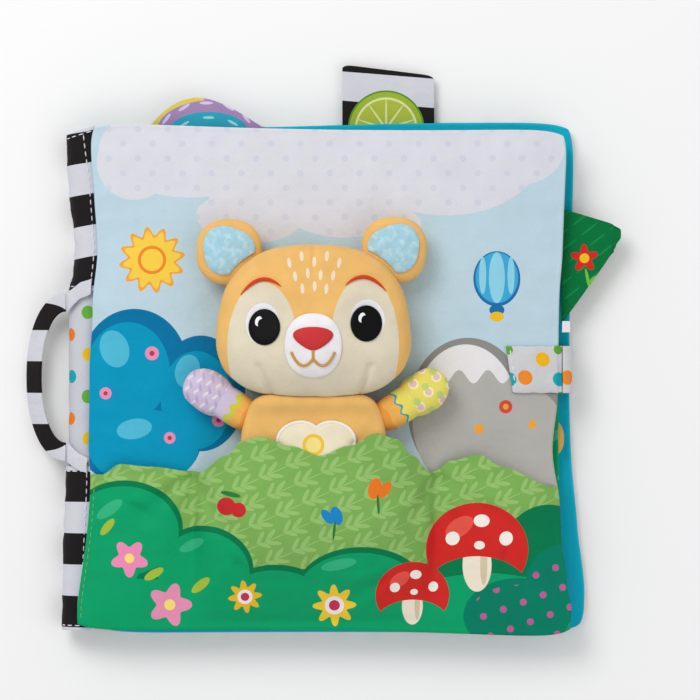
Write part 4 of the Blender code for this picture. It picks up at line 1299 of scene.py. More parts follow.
@dataclass
class Strap:
    """The closing strap: an end sewn to the front cover, and a free end whose hooks grip the back cover."""

    cover: Panel
    start: float = 0.0790
    edge: float = 0.104808
    middle: float = 0.0047
    width: float = 0.0212
    thick: float = 0.0012
    loops_x: float = 0.106305
    hooks_x: float = 0.107405
    inner_x: float = 0.108505
    top_z: float = 0.02035
    hang: float = 0.0182
    tape_thick: float = 0.0008
    tape_length: float = 0.0070
    tape_inset: float = 0.0016

    def sew(self, dotted: Material, tape: Material, thread: Material) -> None:
        """Make both ends, the two tapes and the stitching.

        Args:
            dotted, tape, thread: the finishes of the strap, its tapes and its stitches.
        """
        s, t = grid_shares(30, 18)
        skewed = self.start + 0.0016 * (1 - t)
        x = skewed + (self.edge - GAP / 2 - skewed) * (s + 1) / 2
        y = self.middle + t * self.width / 2 * (1 + 0.01 * np.sin(9 * s))
        soft = 0.0007 * (1 - t ** 4) * (1 - s ** 4) + 0.00025 * ripple(x, y, 0.012, 3.3)
        z = self.cover.top_at(x, y) + GAP + self.thick * 0.8 + soft
        sewn = cloth_shell("strap_sewn_cloth", np.stack([x, y, z], axis=2), self.thick * 0.75, dotted)
        sewn_on(sewn, "front_cover", "dotted_satin", "strap_sewn_end")
        path = np.stack([x, y, z + 0.0001], axis=2)[2, 1:-1]
        sewn_on(stitches("strap_start_stitches", path, thread), "front_cover", "dotted_satin")
        s, t = grid_shares(30, 10)
        share = (s + 1) / 2
        angle = math.pi / 2 * np.minimum(1, 2 * share)
        fold = self.inner_x + self.thick - self.edge - GAP / 2
        x = self.edge + GAP / 2 + fold * np.sin(angle) - 0.0002
        z = self.top_z - fold * (1 - np.cos(angle)) - (self.hang - fold) * np.maximum(0, 2 * share - 1)
        y = self.middle + t * self.width / 2
        free = cloth_shell("strap_free_cloth", np.stack([x, y, z], axis=2), self.thick * 0.75, dotted)
        sewn_on(free, "strap", "dotted_satin", "strap_free_end")
        foot = self.top_z - self.hang
        for name, left, body in (("hook", self.hooks_x, "strap"), ("loop", self.loops_x, "back_cover")):
            s, t = grid_shares(16, 8)
            points = np.stack([np.full_like(s, left + self.tape_thick),
                               self.middle + s * (self.width / 2 - self.tape_inset),
                               foot + self.tape_length * (t + 1) / 2], axis=2)
            piece = cloth_shell("strap_%s_pile" % name, points, self.tape_thick, tape)
            sewn_on(piece, body, "hook_tape", "strap_%s_tape" % name)


@dataclass
class Tab:
    """A flat sewn tab. Its place function turns two shares from -1 to 1 into X and Y."""

    name: str
    body: str
    slot: str
    level: float
    flat: Point2
    area: float
    place: Callable[[Grid, Grid], tuple[Grid, Grid]]
    seam_of: str
    fold: Optional[tuple[str, Point2, Point2]] = None
    thick: float = 0.0010

    def sew(self, material: Material) -> None:
        """Make the tab.

        Args:
            material: its cloth.
        """
        s, t = grid_shares(40, 24)
        x, y = self.place(s, t)
        wave = 0.00022 * ripple(x, y, 0.017, self.level * 900) * (1 - np.maximum(np.abs(s), np.abs(t)) ** 4)
        points = np.stack([x, y, self.level + self.thick / 2 + wave - 0.0001], axis=2)
        cloth = cloth_shell(self.name + "_cloth", points, self.thick * 0.8, material)
        if self.fold:
            parent, start, end = self.fold
            folded_on(cloth, (parent, self.body), self.name)
        else:
            sewn_on(cloth, self.body, self.slot, self.name)


def arch_place(s: Grid, t: Grid) -> tuple[Grid, Grid]:
    """The purple arch over the top edge."""
    rise = np.maximum(0.0010, 0.0142 * (1 - np.abs(s + 0.16 * (1 - s * s)) ** 1.9))
    return -0.0560 + s * 0.0265, 0.113399 + rise * (t + 1) / 2


def striped_place(s: Grid, t: Grid) -> tuple[Grid, Grid]:
    """The striped tab over the top edge."""
    share = (t + 1) / 2
    return 0.0264 + s * 0.0209, 0.115413 + (0.0252 - 0.0052 * s / 2 - 0.0016 * s ** 16 * share ** 8) * share


def corner_place(s: Grid, t: Grid) -> tuple[Grid, Grid]:
    """The green tab at the right. Its free end is the narrow one, and is the upper edge of the shares.

    Args:
        s, t: shares along the seam and out from it.

    Returns:
        X and Y.
    """
    share = (t + 1) / 2
    low, high = 0.0250 + 0.0375 * share, 0.0775 - 0.0080 * share
    rounding = 0.0038 * np.abs(s) ** 5 * share ** 12
    return 0.104564 + 0.0270 * share - rounding, high + (low - high) * (s + 1) / 2


def label_place(s: Grid, t: Grid) -> tuple[Grid, Grid]:
    """The white ribbon loop at the right."""
    return 0.104574 + 0.0036 * (t + 1) / 2, 0.0240 - s * 0.0025


def flap_place(s: Grid, t: Grid) -> tuple[Grid, Grid]:
    """The orange flap at the right."""
    return 0.1032 + (0.0003 + 0.0021 * (1 - np.abs(s) ** 3)) * (t + 1) / 2, -0.02635 - s * 0.00695


@dataclass
class Plump:
    """A stuffed form: a ball filled out towards a box, with a taper, a turn, a flat underside and a sculpted top.

    The relief function gives how far the top stands off the plain form, at X and Y from the form's middle.
    """

    middle: tuple[float, float, float]
    halves: tuple[float, float, float]
    fullness: float
    taper: float = 0.0
    turn: float = 0.0
    floor: Optional[float] = None
    relief: Optional[Callable[[Grid, Grid], Grid]] = None
    slack: float = 0.00025

    def top_share(self, x: Grid, y: Grid) -> Grid:
        """Share of the half depth at which the top lies, at X and Y from the middle.

        Args:
            x, y: from the form's middle.

        Returns:
            The share, 0 past the form's edge.
        """
        along, across = turned_by(x, y, self.turn)
        share_y = across / self.halves[1]
        share_x = along / (self.halves[0] * (1 - self.taper * share_y))
        left = 1 - np.abs(share_x) ** self.fullness - np.abs(share_y) ** self.fullness
        return np.clip(left, 0, 1) ** (1 / self.fullness)

    def level(self, x: Grid, y: Grid) -> Grid:
        """Level of the top at X and Y.

        Args:
            x, y: places in metres.

        Returns:
            Z of the top.
        """
        x, y = np.asarray(x, float) - self.middle[0], np.asarray(y, float) - self.middle[1]
        share = self.top_share(x, y)
        extra = self.relief(x, y) * ease(share / 0.55) if self.relief else 0
        return self.middle[2] + self.halves[2] * share + extra

    def pushed_out(self, places: Grid, growth: float) -> Grid:
        """Move the places that lie inside the form out to its surface.

        Args:
            places: the points.
            growth: distance kept to the form.

        Returns:
            The moved points.
        """
        x, y, z = (places - np.array(self.middle)).T
        along, across = turned_by(x, y, self.turn)
        shares = (along / ((self.halves[0] + growth) * (1 - self.taper * across / self.halves[1])),
                  across / (self.halves[1] + growth), z / (self.halves[2] + growth))
        reach = sum(np.abs(share) ** self.fullness for share in shares) ** (1 / self.fullness)
        grow = np.where(reach < 1, 1 / np.maximum(reach, 0.35), 1)[:, None]
        flat = np.concatenate([grow, grow, np.ones_like(grow)], axis=1)
        return np.array(self.middle) + (places - np.array(self.middle)) * flat

    def stuff(self, name: str, material: Material, cuts: int = 22, clear_of: Sequence["Plump"] = (),
              fill: float = 0.8, room: float = GAP) -> Piece:
        """Make the form as one closed skin over its stuffing.

        Args:
            name: the piece's name.
            material: its plush.
            cuts: squares along each side of the cube that the ball is made from.
            clear_of: forms that this one is sewn against, whose space it leaves free.
            fill: not used.
            room: distance kept to those forms; below 0 the seam draws the two together.

        Returns:
            The padded piece.
        """
        bm = bmesh.new()
        bmesh.ops.create_cube(bm, size=2)
        bmesh.ops.subdivide_edges(bm, edges=bm.edges, cuts=cuts, use_grid_fill=True)
        cube = np.array([v.co for v in bm.verts])
        faces = [[v.index for v in f.verts] for f in bm.faces]
        bm.free()
        cube = np.tan(cube * math.pi / 4)
        unit = cube / np.linalg.norm(cube, axis=1, keepdims=True)
        unit = unit / (np.sum(np.abs(unit) ** self.fullness, axis=1, keepdims=True) ** (1 / self.fullness))
        wide, high, deep = self.halves
        local = np.stack([unit[:, 0] * wide * (1 - self.taper * unit[:, 1]), unit[:, 1] * high, unit[:, 2] * deep], 1)
        along, across = turned_by(local[:, 0], local[:, 1], -self.turn)
        places = np.stack([along, across, local[:, 2]], 1)
        sag = self.slack * ripple(places[:, 0] + places[:, 2], places[:, 1] - 0.7 * places[:, 2], 0.016, wide * 99)
        places = places * (1 + (sag - self.slack) / np.linalg.norm(places, axis=1))[:, None]
        if self.relief:
            places[:, 2] += np.where(unit[:, 2] > 0, self.relief(along, across) * ease(unit[:, 2] / 0.55), 0)
        places = places + np.array(self.middle)
        for other in clear_of:
            places = other.pushed_out(places, room)
        if self.floor is not None:
            places[:, 2] = np.maximum(places[:, 2], self.floor)
        piece = outward(add_mesh(name, places.tolist(), faces, [material]))
        return piece

    def patch(self, name: str, outline: Grid, material: Material, thick: float, lift: float = GAP,
              power: float = 4.0, rings: int = 8) -> Piece:
        """Make a patch that is sewn on the top: a low dome over a closed outline.

        Args:
            name: the piece's name.
            outline: X and Y of the points round it, anticlockwise.
            material: its finish.
            thick: height in the middle.
            lift: distance off the form.
            power: how flat the dome is.
            rings: from the middle to the edge.

        Returns:
            The patch.
        """
        heart = outline.mean(axis=0)
        shares = np.sin(np.linspace(0, math.pi / 2, rings + 1))[1:]
        count = len(outline)
        xy = np.concatenate([heart[None]] + [heart + (outline - heart) * share for share in shares])
        share = np.concatenate([[0.0]] + [np.full(count, share) for share in shares])
        base = self.level(xy[:, 0], xy[:, 1]) + lift
        top = base + thick * (0.15 + 0.85 * np.clip(1 - share ** power, 0, 1) ** 0.6)
        verts = np.concatenate([np.column_stack([xy, top]), np.column_stack([xy, base])])
        half = len(xy)
        faces = []
        for turn in range(count):
            after = (turn + 1) % count
            faces += [(0, 1 + turn, 1 + after), (half, half + 1 + after, half + 1 + turn)]
            for ring in range(rings - 1):
                a, b = 1 + ring * count + turn, 1 + ring * count + after
                c, d = b + count, a + count
                faces += [(a, d, c, b), (half + a, half + b, half + c, half + d)]
            a, b = 1 + (rings - 1) * count + turn, 1 + (rings - 1) * count + after
            faces.append((a, half + a, half + b, b))
        return outward(add_mesh(name, verts.tolist(), faces, [material]))

    def thread(self, name: str, path: Grid, radii: Grid, material: Material, lift: float = GAP,
               pitch: float = 0.0006, sides: int = 10) -> Piece:
        """Make a satin-stitched line on the top: a low ribbed cord that follows a path in X and Y.

        Args:
            name: the piece's name.
            path: X and Y along the line.
            radii: of the cord at each point of the path.
            material: the thread.
            lift: distance off the form.
            pitch: between two ribs.
            sides: round the cord.

        Returns:
            The cord.
        """
        run = run_along(path)
        count = max(8, int(run[-1] / pitch) * 4)
        at = np.linspace(0, run[-1], count)
        x, y = np.interp(at, run, path[:, 0]), np.interp(at, run, path[:, 1])
        radius = np.interp(at, run, radii) * (1 + 0.07 * np.cos(2 * math.pi * at / pitch))
        ahead = np.gradient(np.stack([x, y], 1), axis=0)
        ahead /= np.maximum(np.linalg.norm(ahead, axis=1, keepdims=True), TINY)
        side = np.stack([-ahead[:, 1], ahead[:, 0]], 1)
        rings = []
        for turn in range(sides):
            angle = 2 * math.pi * turn / sides
            xy = np.stack([x, y], 1) + side * (radius * math.cos(angle))[:, None]
            z = self.level(x, y) + lift + radius * 0.7 * (1 + math.sin(angle))
            rings.append(np.column_stack([xy, z]))
        verts = np.stack(rings, axis=1).reshape(-1, 3)
        return outward(add_mesh(name, verts.tolist(), tube_faces(0, count, sides), [material]))


def ring_outline(x: float, y: float, wide: float, high: float, taper: float = 0, lobes: int = 0,
                 depth: float = 0, turn: float = 0, fullness: float = 2, count: int = 64) -> Grid:
    """Points round an oval, which may taper, wave or fill out.

    Args:
        x, y: the middle.
        wide, high: the half sizes.
        taper: how much wider it is at its top.
        lobes, depth, turn: how many waves, how deep, and where one crests.
        fullness: 2 for an oval, more towards a box.
        count: of the points.

    Returns:
        X and Y of each point, anticlockwise.
    """
    angle = np.linspace(0, 2 * math.pi, count, endpoint=False)
    power = 2 / fullness
    a = np.sign(np.cos(angle)) * np.abs(np.cos(angle)) ** power
    b = np.sign(np.sin(angle)) * np.abs(np.sin(angle)) ** power
    wave = 1 + depth * np.cos(lobes * (angle - turn))
    return np.stack([x + wide * a * (1 + taper * b) * wave, y + high * b * wave], 1)


def hollow_out(piece: Piece, low: Sequence[float], high: Sequence[float]) -> None:
    """Cut a box out of a closed piece.

    Args:
        piece: the closed piece.
        low, high: two corners of the box.
    """
    bm = bmesh.new()
    bmesh.ops.create_cube(bm, size=1)
    low, high = Vector(low), Vector(high)
    for vert in bm.verts:
        vert.co = [low[i] + (high[i] - low[i]) * (vert.co[i] + 0.5) for i in range(3)]
    mesh = bpy.data.meshes.new("cutter")
    bm.to_mesh(mesh)
    bm.free()
    cutter = add_object("cutter", mesh)
    cut = piece.modifiers.new("hollow", "BOOLEAN")
    cut.object, cut.operation, cut.solver = cutter, "DIFFERENCE", "EXACT"
    bpy.context.view_layer.update()
    made = bpy.data.meshes.new_from_object(piece.evaluated_get(bpy.context.evaluated_depsgraph_get()))
    piece.modifiers.remove(cut)
    piece.data = made
    bpy.data.objects.remove(cutter)


def line_dent(x: Grid, y: Grid, start: Point2, end: Point2, depth: float, wide: float) -> Grid:
    """Depth of a sewn crease between two points.

    Args:
        x, y: places in metres.
        start, end: of the crease, which is deepest at its end.
        depth, wide: of the crease.

    Returns:
        The height, below 0 in the crease.
    """
    ahead = np.array(end) - np.array(start)
    length = np.linalg.norm(ahead)
    ahead = ahead / length
    along = (x - start[0]) * ahead[0] + (y - start[1]) * ahead[1]
    across = (y - start[1]) * ahead[0] - (x - start[0]) * ahead[1]
    past = np.maximum(np.maximum(-along, along - length), 0)
    return -depth * np.exp(-(across ** 2 + past ** 2) / wide ** 2) * (0.4 + 0.6 * ease(along / length))


def head_relief(x: Grid, y: Grid) -> Grid:
    """The head's muzzle, cheeks, eye dents, chin darts and top seam.

    Args:
        x, y: from the head's middle.

    Returns:
        The height over the plain form.
    """
    muzzle = 0.0042 * np.exp(-((x / 0.0175) ** 2 + ((y + 0.0115) / 0.0170) ** 2) ** 1.4)
    cheeks = 0.0012 * sum(np.exp(-(((x - side * 0.027) / 0.012) ** 2 + ((y + 0.013) / 0.011) ** 2))
                          for side in (-1, 1))
    eyes = -0.0011 * sum(np.exp(-(((x - side * 0.023) / 0.011) ** 2 + ((y + 0.0016) / 0.012) ** 2))
                         for side in (-1, 1))
    darts = line_dent(x, y, (-0.0245, -0.0200), (-0.0180, -0.0345), 0.0031, 0.0014)
    darts = darts + line_dent(x, y, (0.0255, -0.0200), (0.0200, -0.0345), 0.0031, 0.0014)
    seam = line_dent(x, y, (0.0000, 0.0215), (0.0003, 0.0345), 0.0018, 0.0011)
    return muzzle + cheeks + eyes + darts + seam


def torso_relief(x: Grid, y: Grid) -> Grid:
    """The torso's belly and the creases under its arms.

    Args:
        x, y: from the torso's middle.

    Returns:
        The height over the plain form.
    """
    belly = 0.0012 * np.exp(-((x / 0.021) ** 2 + ((y - 0.0026) / 0.020) ** 2))
    belly = belly + 0.0042 * ease((y - 0.0246) / 0.0075) * (1 - ease((np.abs(x) - 0.024) / 0.009))
    left = line_dent(x, y, (-0.0270, 0.0216), (-0.0160, 0.0116), 0.0014, 0.0016)
    right = line_dent(x, y, (0.0280, 0.0216), (0.0180, 0.0126), 0.0014, 0.0016)
    return belly + left + right


@dataclass
class Bear:
    """The plush bear: head, ears, face, torso and arms, stuffed and embroidered."""

    x: float = -0.0072
    rest: float = 0.02415
    room_low: tuple = (-0.0213, -0.0638, 0.0240)
    room_high: tuple = (0.0213, -0.0212, 0.03765)
    head: Plump = field(init=False)
    torso: Plump = field(init=False)

    def __post_init__(self) -> None:
        """Set up the two main forms."""
        self.head = Plump((self.x, 0.0262, 0.03985), (0.0430, 0.0344, 0.0175), 2.6, 0.10, floor=self.rest,
                          relief=head_relief)
        self.torso = Plump((self.x, -0.0407, 0.03365), (0.0341, 0.0357, 0.0105), 5.5, 0.10, floor=self.rest,
                           relief=torso_relief)

    def sew_torso(self, plush: Material, belly: Material, piping: Material) -> None:
        """Make the torso round the sound module's room, tucked under the chin, and the patch over its button.

        Args:
            plush, belly, piping: the finishes of the torso, its patch and the patch's edge.
        """
        torso = self.torso.stuff("bear_torso_plush", plush, 30, [self.head], room=0.00005)
        hollow_out(torso, (self.x + self.room_low[0], *self.room_low[1:]),
                   (self.x + self.room_high[0], *self.room_high[1:]))
        folded_on(torso, ("bear", "bear_head"),
                  "bear_torso")
        angle = np.linspace(0, 2 * math.pi, 72, endpoint=False)
        middle = self.x + 0.0012
        lobes = 1 + 0.14 * np.abs(np.cos(angle)) * (np.sin(angle) > 0)
        outline = np.stack([middle + 0.0172 * np.cos(angle), -0.0270 + 0.0096 * np.sin(angle) * lobes], 1)
        outline[:, 1] -= 0.0036 * np.exp(-np.abs(outline[:, 0] - middle) / 0.0042) * (np.sin(angle) > 0)
        patch = self.torso.patch("tummy_plush_patch", outline, belly, 0.0010)
        sewn_on(patch, "bear", "cream_plush", "tummy_patch")
        loop = np.concatenate([outline, outline[:2]])
        edge = self.torso.thread("tummy_patch_piping", loop, np.full(len(loop), 0.0007), piping, ON_TOP)
        sewn_on(edge, "bear", "cream_plush")

    def sew_head(self, looks: dict[str, Material]) -> None:
        """Make the head, the ears and the face.

        Args:
            looks: the materials by name: face, ear, ear_satin, eye, muzzle, nose, mouth and brow.
        """
        head = self.head.stuff("bear_head_plush", looks["face"], 78, fill=0.9)
        sewn_on(head, "bear_head", "peach_plush", "bear_head")
        for side in Side:
            sign, word = side.value, side.word
            rise = 0.0012 if side is Side.LEFT else 0.0022
            ear = Plump((self.x + sign * 0.0368 - 0.0010, 0.0560 + rise, self.rest + 0.0110),
                        (0.0150, 0.0152, 0.0065), 2.3, slack=0.0004)
            piece = ear.stuff("ear_plush_" + word, looks["ear"], 30, [self.head], 0.6, -0.0006)
            sewn_on(piece, "bear_head", "peach_plush", "ear_" + word)
            lining = ring_outline(self.x + sign * 0.0372 - 0.0010, 0.0568 + rise, 0.0115, 0.0108, lobes=3, depth=0.07,
                                  turn=math.radians(90 - sign * 38))
            lining = self.head.pushed_out(np.column_stack([lining, np.full(len(lining), 0.0400)]), 0.0012)[:, :2]
            satin = ear.patch("ear_satin_" + word, lining, looks["ear_satin"], 0.0009, ON_TOP, 6.0)
            for vert in satin.data.vertices[:1 + 64 * 8]:
                vert.co.z += 0.0006 * float(ripple(vert.co.x, vert.co.y, 0.0065, 2.0 + sign))
            sewn_on(satin, "bear_head", "ear_satin", "ear_lining_" + word)
            at = (-0.0288, 0.0236) if side is Side.LEFT else (0.0162, 0.0252)
            eye = self.head.patch("eye_stitching_" + word, ring_outline(*at, 0.0070, 0.0080), looks["eye"], 0.0010,
                                  ON_TOP)
            sewn_on(eye, "bear_head", "black_thread", "eye_" + word)
            share = np.linspace(-1, 1, 25)
            tilt = 0.0019 * share if side is Side.LEFT else 0.0011 - 0.0013 * share
            brow = np.stack([self.x + sign * 0.0232 + share * 0.0090, 0.0396 + 0.0050 * (1 - share ** 2) + tilt], 1)
            radii = 0.00085 * (1 - 0.85 * np.abs(share) ** 2.5)
            line = self.head.thread("brow_stitching_" + word, brow, radii, looks["brow"], ON_TOP)
            sewn_on(line, "bear_head", "tan_thread", "brow_" + word)
        muzzle = self.head.patch("muzzle_plush", ring_outline(self.x, 0.0155, 0.0126, 0.0142, fullness=2.2),
                                 looks["muzzle"], 0.0012, ON_TOP)
        sewn_on(muzzle, "bear_head", "cream_plush", "muzzle_patch")
        on_muzzle = Plump(self.head.middle, self.head.halves, 2.6, 0.10, relief=head_relief)
        nose = ring_outline(self.x, 0.0190, 0.0086, 0.0047, taper=0.26, fullness=2.0)
        nose[:, 1] -= 0.0010 * np.exp(-((nose[:, 0] - self.x) / 0.0045) ** 2) * (nose[:, 1] < 0.0175)
        button = on_muzzle.patch("nose_stitching", nose, looks["nose"], 0.0018, 0.0013)
        sewn_on(button, "bear_head", "red_thread", "nose")
        share = np.linspace(-1, 1, 49)
        curl = 0.0028 * np.abs(share) ** 3 - 0.0035 * np.abs(np.sin(math.pi * share)) ** 0.8
        smile = np.stack([self.x + share * 0.0096, 0.0098 + curl], 1)
        mouth = on_muzzle.thread("mouth_stitching", smile, np.full(49, 0.00062), looks["mouth"], 0.0012)
        sewn_on(mouth, "bear_head", "tan_thread", "mouth")
        drop = np.array([[self.x, 0.0145], [self.x, 0.0098]])
        line = on_muzzle.thread("mouth_line_stitching", drop, np.full(2, 0.0006), looks["mouth"], 0.0012)
        sewn_on(line, "bear_head", "tan_thread")

    def sew_arm(self, side: Side, out: float, sleeve_look: Material, paw_look: Material,
                slot: str) -> None:
        """Make one arm: its sleeve and its paw.

        Args:
            side: which arm.
            out: how far from the bear's middle the sleeve's middle lies.
            sleeve_look, paw_look: their finishes.
            slot: the paw's finish name.
        """
        turn = math.radians(side.arm_degrees)
        middle = (self.x + side.value * out, -0.0122, 0.03315)
        ahead = (math.cos(turn), math.sin(turn))
        paw = Plump((middle[0] + 0.0128 * ahead[0], middle[1] + 0.0128 * ahead[1], 0.03315),
                    (0.0126, 0.0098, 0.0080), 2.3, 0, turn, self.rest, slack=0.0005)
        sleeve = Plump(middle, (0.0130, 0.0080, 0.0075), 2.6, 0, turn)
        arm = sleeve.stuff("sleeve_plush_" + side.word, sleeve_look, 24, [paw, self.torso], room=-0.0004)
        folded_on(arm, ("bear", "arm_" + side.word), "arm_" + side.word)
        hand = paw.stuff("paw_plush_" + side.word, paw_look, 26)
        sewn_on(hand, "arm_" + side.word, slot, "paw_" + side.word)


def sky_art(art: Print) -> None:
    """Print the front cover: a dotted cloud, a sun, a balloon, a blue wood and a grey hill.

    Args:
        art: the print to ink.
    """
    cloud = art.joined([art.oval(*oval) for oval in (
        (-62, 104, 42, 22), (-30, 92, 26, 30), (6, 98, 40, 34), (52, 100, 42, 26), (86, 106, 20, 18),
        (-88, 98, 17, 17), (-46, 74, 14, 9), (26, 70, 15, 8))])
    art.ink(cloud, "#D9DAE2")
    dots = art.oval(0, 0, 1.5, 1.5, point=art.tile(9.4, 9.4, turn=45))
    art.ink(art.shared([cloud, dots]), "#CFD3E0")
    art.ink(art.petals(-80, 54, 15, 12, 0.13, 9), "#F2A53A")
    art.ink(art.petals(-80, 54, 13.2, 12, 0.13, 9), "#F6CF4A")
    art.oval_ink("#EE8A2C", (-80, 54, 6.4, 6.4))
    art.oval_ink("#F6CF4A", (-80, 54, 5.0, 5.0))
    art.oval_ink("#1D6FA8", (75, 45.5, 10.6, 12.4), (75, 31.5, 3.4, 2.6))
    art.oval_ink("#3FA9D8", (75, 46, 9.6, 11.4))
    art.oval_ink("#8FD2EA", (75, 46, 3.6, 11.4), (68.6, 47, 1.6, 8.4), (81.4, 47, 1.6, 8.4))
    art.oval_ink("#F0C020", (75, 28.5, 3.2, 2.2))
    for colour, *ovals in (
            ("#0073A5", (-88, 6, 24, 26), (-58, -6, 20, 26), (-86, -28, 28, 20), (-106, -12, 9, 16)),
            ("#0096BE", (-91, 4, 19, 22), (-60, -9, 16, 22), (-84, -30, 25, 17), (-106, -13, 9, 15)),
            ("#4FB9D6", (-97, 14, 6.5, 8.5, 20), (-64, 4, 5.5, 7.5, -15), (-88, -22, 8, 4.5, 10)),
            ("#E991B5", (-80, 12, 3.1, 3.1), (-101, -6, 2.7, 2.7), (-50, -18, 3.0, 3.0), (-72, -26, 2.6, 2.6)),
            ("#C8365A", (-80, 12, 1.2, 1.2), (-101, -6, 1.0, 1.0), (-50, -18, 1.1, 1.1), (-72, -26, 1.0, 1.0)),
            ("#8E8D8B", (62, -14, 27, 33), (92, -30, 20, 30)),
            ("#B3B1AC", (61, -17, 24, 33), (90, -33, 18, 29))):
        art.oval_ink(colour, *ovals)
    hill = art.joined([art.oval(61, -17, 24, 33), art.oval(90, -33, 18, 29)])
    snow = art.outside(art.below(1.5, 3.0, 13, 58))
    art.ink(art.shared([hill, snow]), "#E6E4E6")
    art.oval_ink("#D84A3A", (47, -8, 3.4, 3.4), (79, -12, 3.0, 3.0))
    art.oval_ink("#F2A53A", (47, -8, 1.5, 1.5), (79, -12, 1.3, 1.3), (67, -22, 2.2, 2.2), (91, -20, 1.8, 1.8))


def meadow_art(art: Print) -> None:
    """Print the pocket: pale leaf sprigs, two rows of bushes, toadstools and flowers.

    Args:
        art: the print to ink.
    """
    leaf = art.tile(13, 9, turn=24)
    other = art.tile(13, 9, (6.1, 3.6), 24)
    sprigs = art.joined([art.oval(0, 1.9, 3.4, 0.95, 28, leaf), art.oval(0, -1.9, 3.4, 0.95, -28, leaf),
                         art.oval(1.5, 1.9, 3.2, 0.9, 40, other), art.oval(1.5, -1.7, 3.2, 0.9, -40, other),
                         art.oval(0, 0, 6.5, 0.28, 0, leaf)])
    art.ink(sprigs, "#97C270")
    bushes = [(-92, -66, 26, 21), (-56, -84, 22, 19), (-24, -100, 25, 18), (14, -94, 29, 20), (60, -104, 32, 20),
              (98, -80, 22, 24)]
    art.ink(art.joined([art.oval(*bush) for bush in bushes] + [art.oval(66, -94, 34, 16), art.below(-84)]), "#007A4C")
    art.oval_ink("#06A168", *[(x - 0.6, y - 1.6, wide - 1.2, high - 1.0) for x, y, wide, high in bushes[:4]])
    art.ink(art.joined([art.below(-88, 1.5, 60, 10), art.oval(-104, -84, 19, 11)]), "#06A168")
    art.oval_ink("#35B57F", (-99, -58, 7, 2.6, 35), (-62, -74, 6, 2.2, 25), (4, -82, 8, 2.4, 12))
    art.oval_ink("#007F63", (84, -106, 24, 17), (104, -92, 16, 18))
    speck = art.oval(0, 0, 1.5, 1.5, point=art.tile(9.5, 9.5, turn=20))
    corner = art.joined([art.oval(84, -107, 22, 15), art.oval(104, -93, 14, 16)])
    art.ink(art.shared([corner, speck]), "#C65A9A")
    for x, y, size in ((66, -70, 1.0), (37, -92, 0.72)):
        art.oval_ink("#F1E6D2", (x, y - 13 * size, 6.5 * size, 12 * size))
        art.oval_ink("#D8C6A8", (x + 3 * size, y - 13 * size, 1.6 * size, 9 * size))
        cap = art.shared([art.oval(x, y - 6 * size, 23 * size, 21 * size),
                          art.outside(art.oval(x, y - 26 * size, 24 * size, 17 * size))])
        art.ink(cap, "#D42A26")
        glow = art.shared([cap, art.oval(x - 8 * size, y + 4 * size, 7 * size, 4 * size, 35)])
        art.ink(glow, "#E8574A")
        art.oval_ink("#F6F1EA", (x + 2 * size, y + 7 * size, 3.6 * size, 2.8 * size),
                     (x - 11 * size, y - 1 * size, 3.2 * size, 3.0 * size, 30),
                     (x + 13 * size, y - 1 * size, 3.0 * size, 3.2 * size, -30),
                     (x + 1 * size, y - 4 * size, 2.4 * size, 1.9 * size))
    for x, y, size, count, petal, heart in (
            (-90, -80, 8.6, 5, "#F08CB8", "#F6E27A"), (-72, -101, 10.0, 5, "#E991B5", "#F6E27A"),
            (-38, -97, 7.6, 8, "#F0BE28", "#C8365A"), (2, -101, 9.8, 8, "#F6CF3A", "#C8365A")):
        art.ink(art.petals(x, y, size, count, 0.20, x), petal)
        if count > 5:
            art.oval_ink("#F4F0EC", (x, y, size * 0.44, size * 0.44))
        art.oval_ink(heart, (x, y, size * 0.25, size * 0.25))
    art.oval_ink("#A9BE3C", (-100, -66, 4.6, 1.8, 50), (-79, -87, 4.8, 1.9, 30), (-58, -92, 5.2, 2.0, 40))
    art.oval_ink("#1E84C8", (3, -60, 2.6, 4.2, 18), (-1, -60.4, 2.0, 3.8, 40))
    art.oval_ink("#EE7A24", (20, -48, 2.9, 4.8, -14), (24.5, -48.6, 2.2, 4.2, -36))
    art.oval_ink("#C92A2E", (-46, -56, 4.2, 4.0), (-40.5, -57.5, 3.4, 3.3))
    art.oval_ink("#2E7A3C", (-44, -50.6, 4.6, 1.1, -12), (21.5, -55, 0.6, 4.4, 4), (2, -66.5, 0.6, 4.4, -6))


def dots_art(art: Print) -> None:
    """Print large and small dots of four colours.

    Args:
        art: the print to ink.
    """
    for colour, size, shift in (("#1AA5B0", 2.8, (4.2, 1.5)), ("#EE7E24", 2.7, (3.6, 20.5)),
                                ("#EFBE22", 2.8, (-4.2, 11.5)), ("#68AE3E", 2.8, (-4.6, -7.5))):
        art.ink(art.oval(0, 0, size, size * 1.08, point=art.tile(17, 38, shift)), colour)


def strap_art(art: Print) -> None:
    """Print the strap's dots.

    Args:
        art: the print to ink.
    """
    for colour, size, shift in (("#EFB81E", 3.2, (3.4, 4.6)), ("#EE8A2C", 3.3, (-5.2, -3.6)),
                                ("#1AA5B0", 3.2, (10.6, -4.4)), ("#5FA53A", 2.2, (-12, 9))):
        art.ink(art.oval(0, 0, size, size, point=art.tile(23, 21.2, shift)), colour)


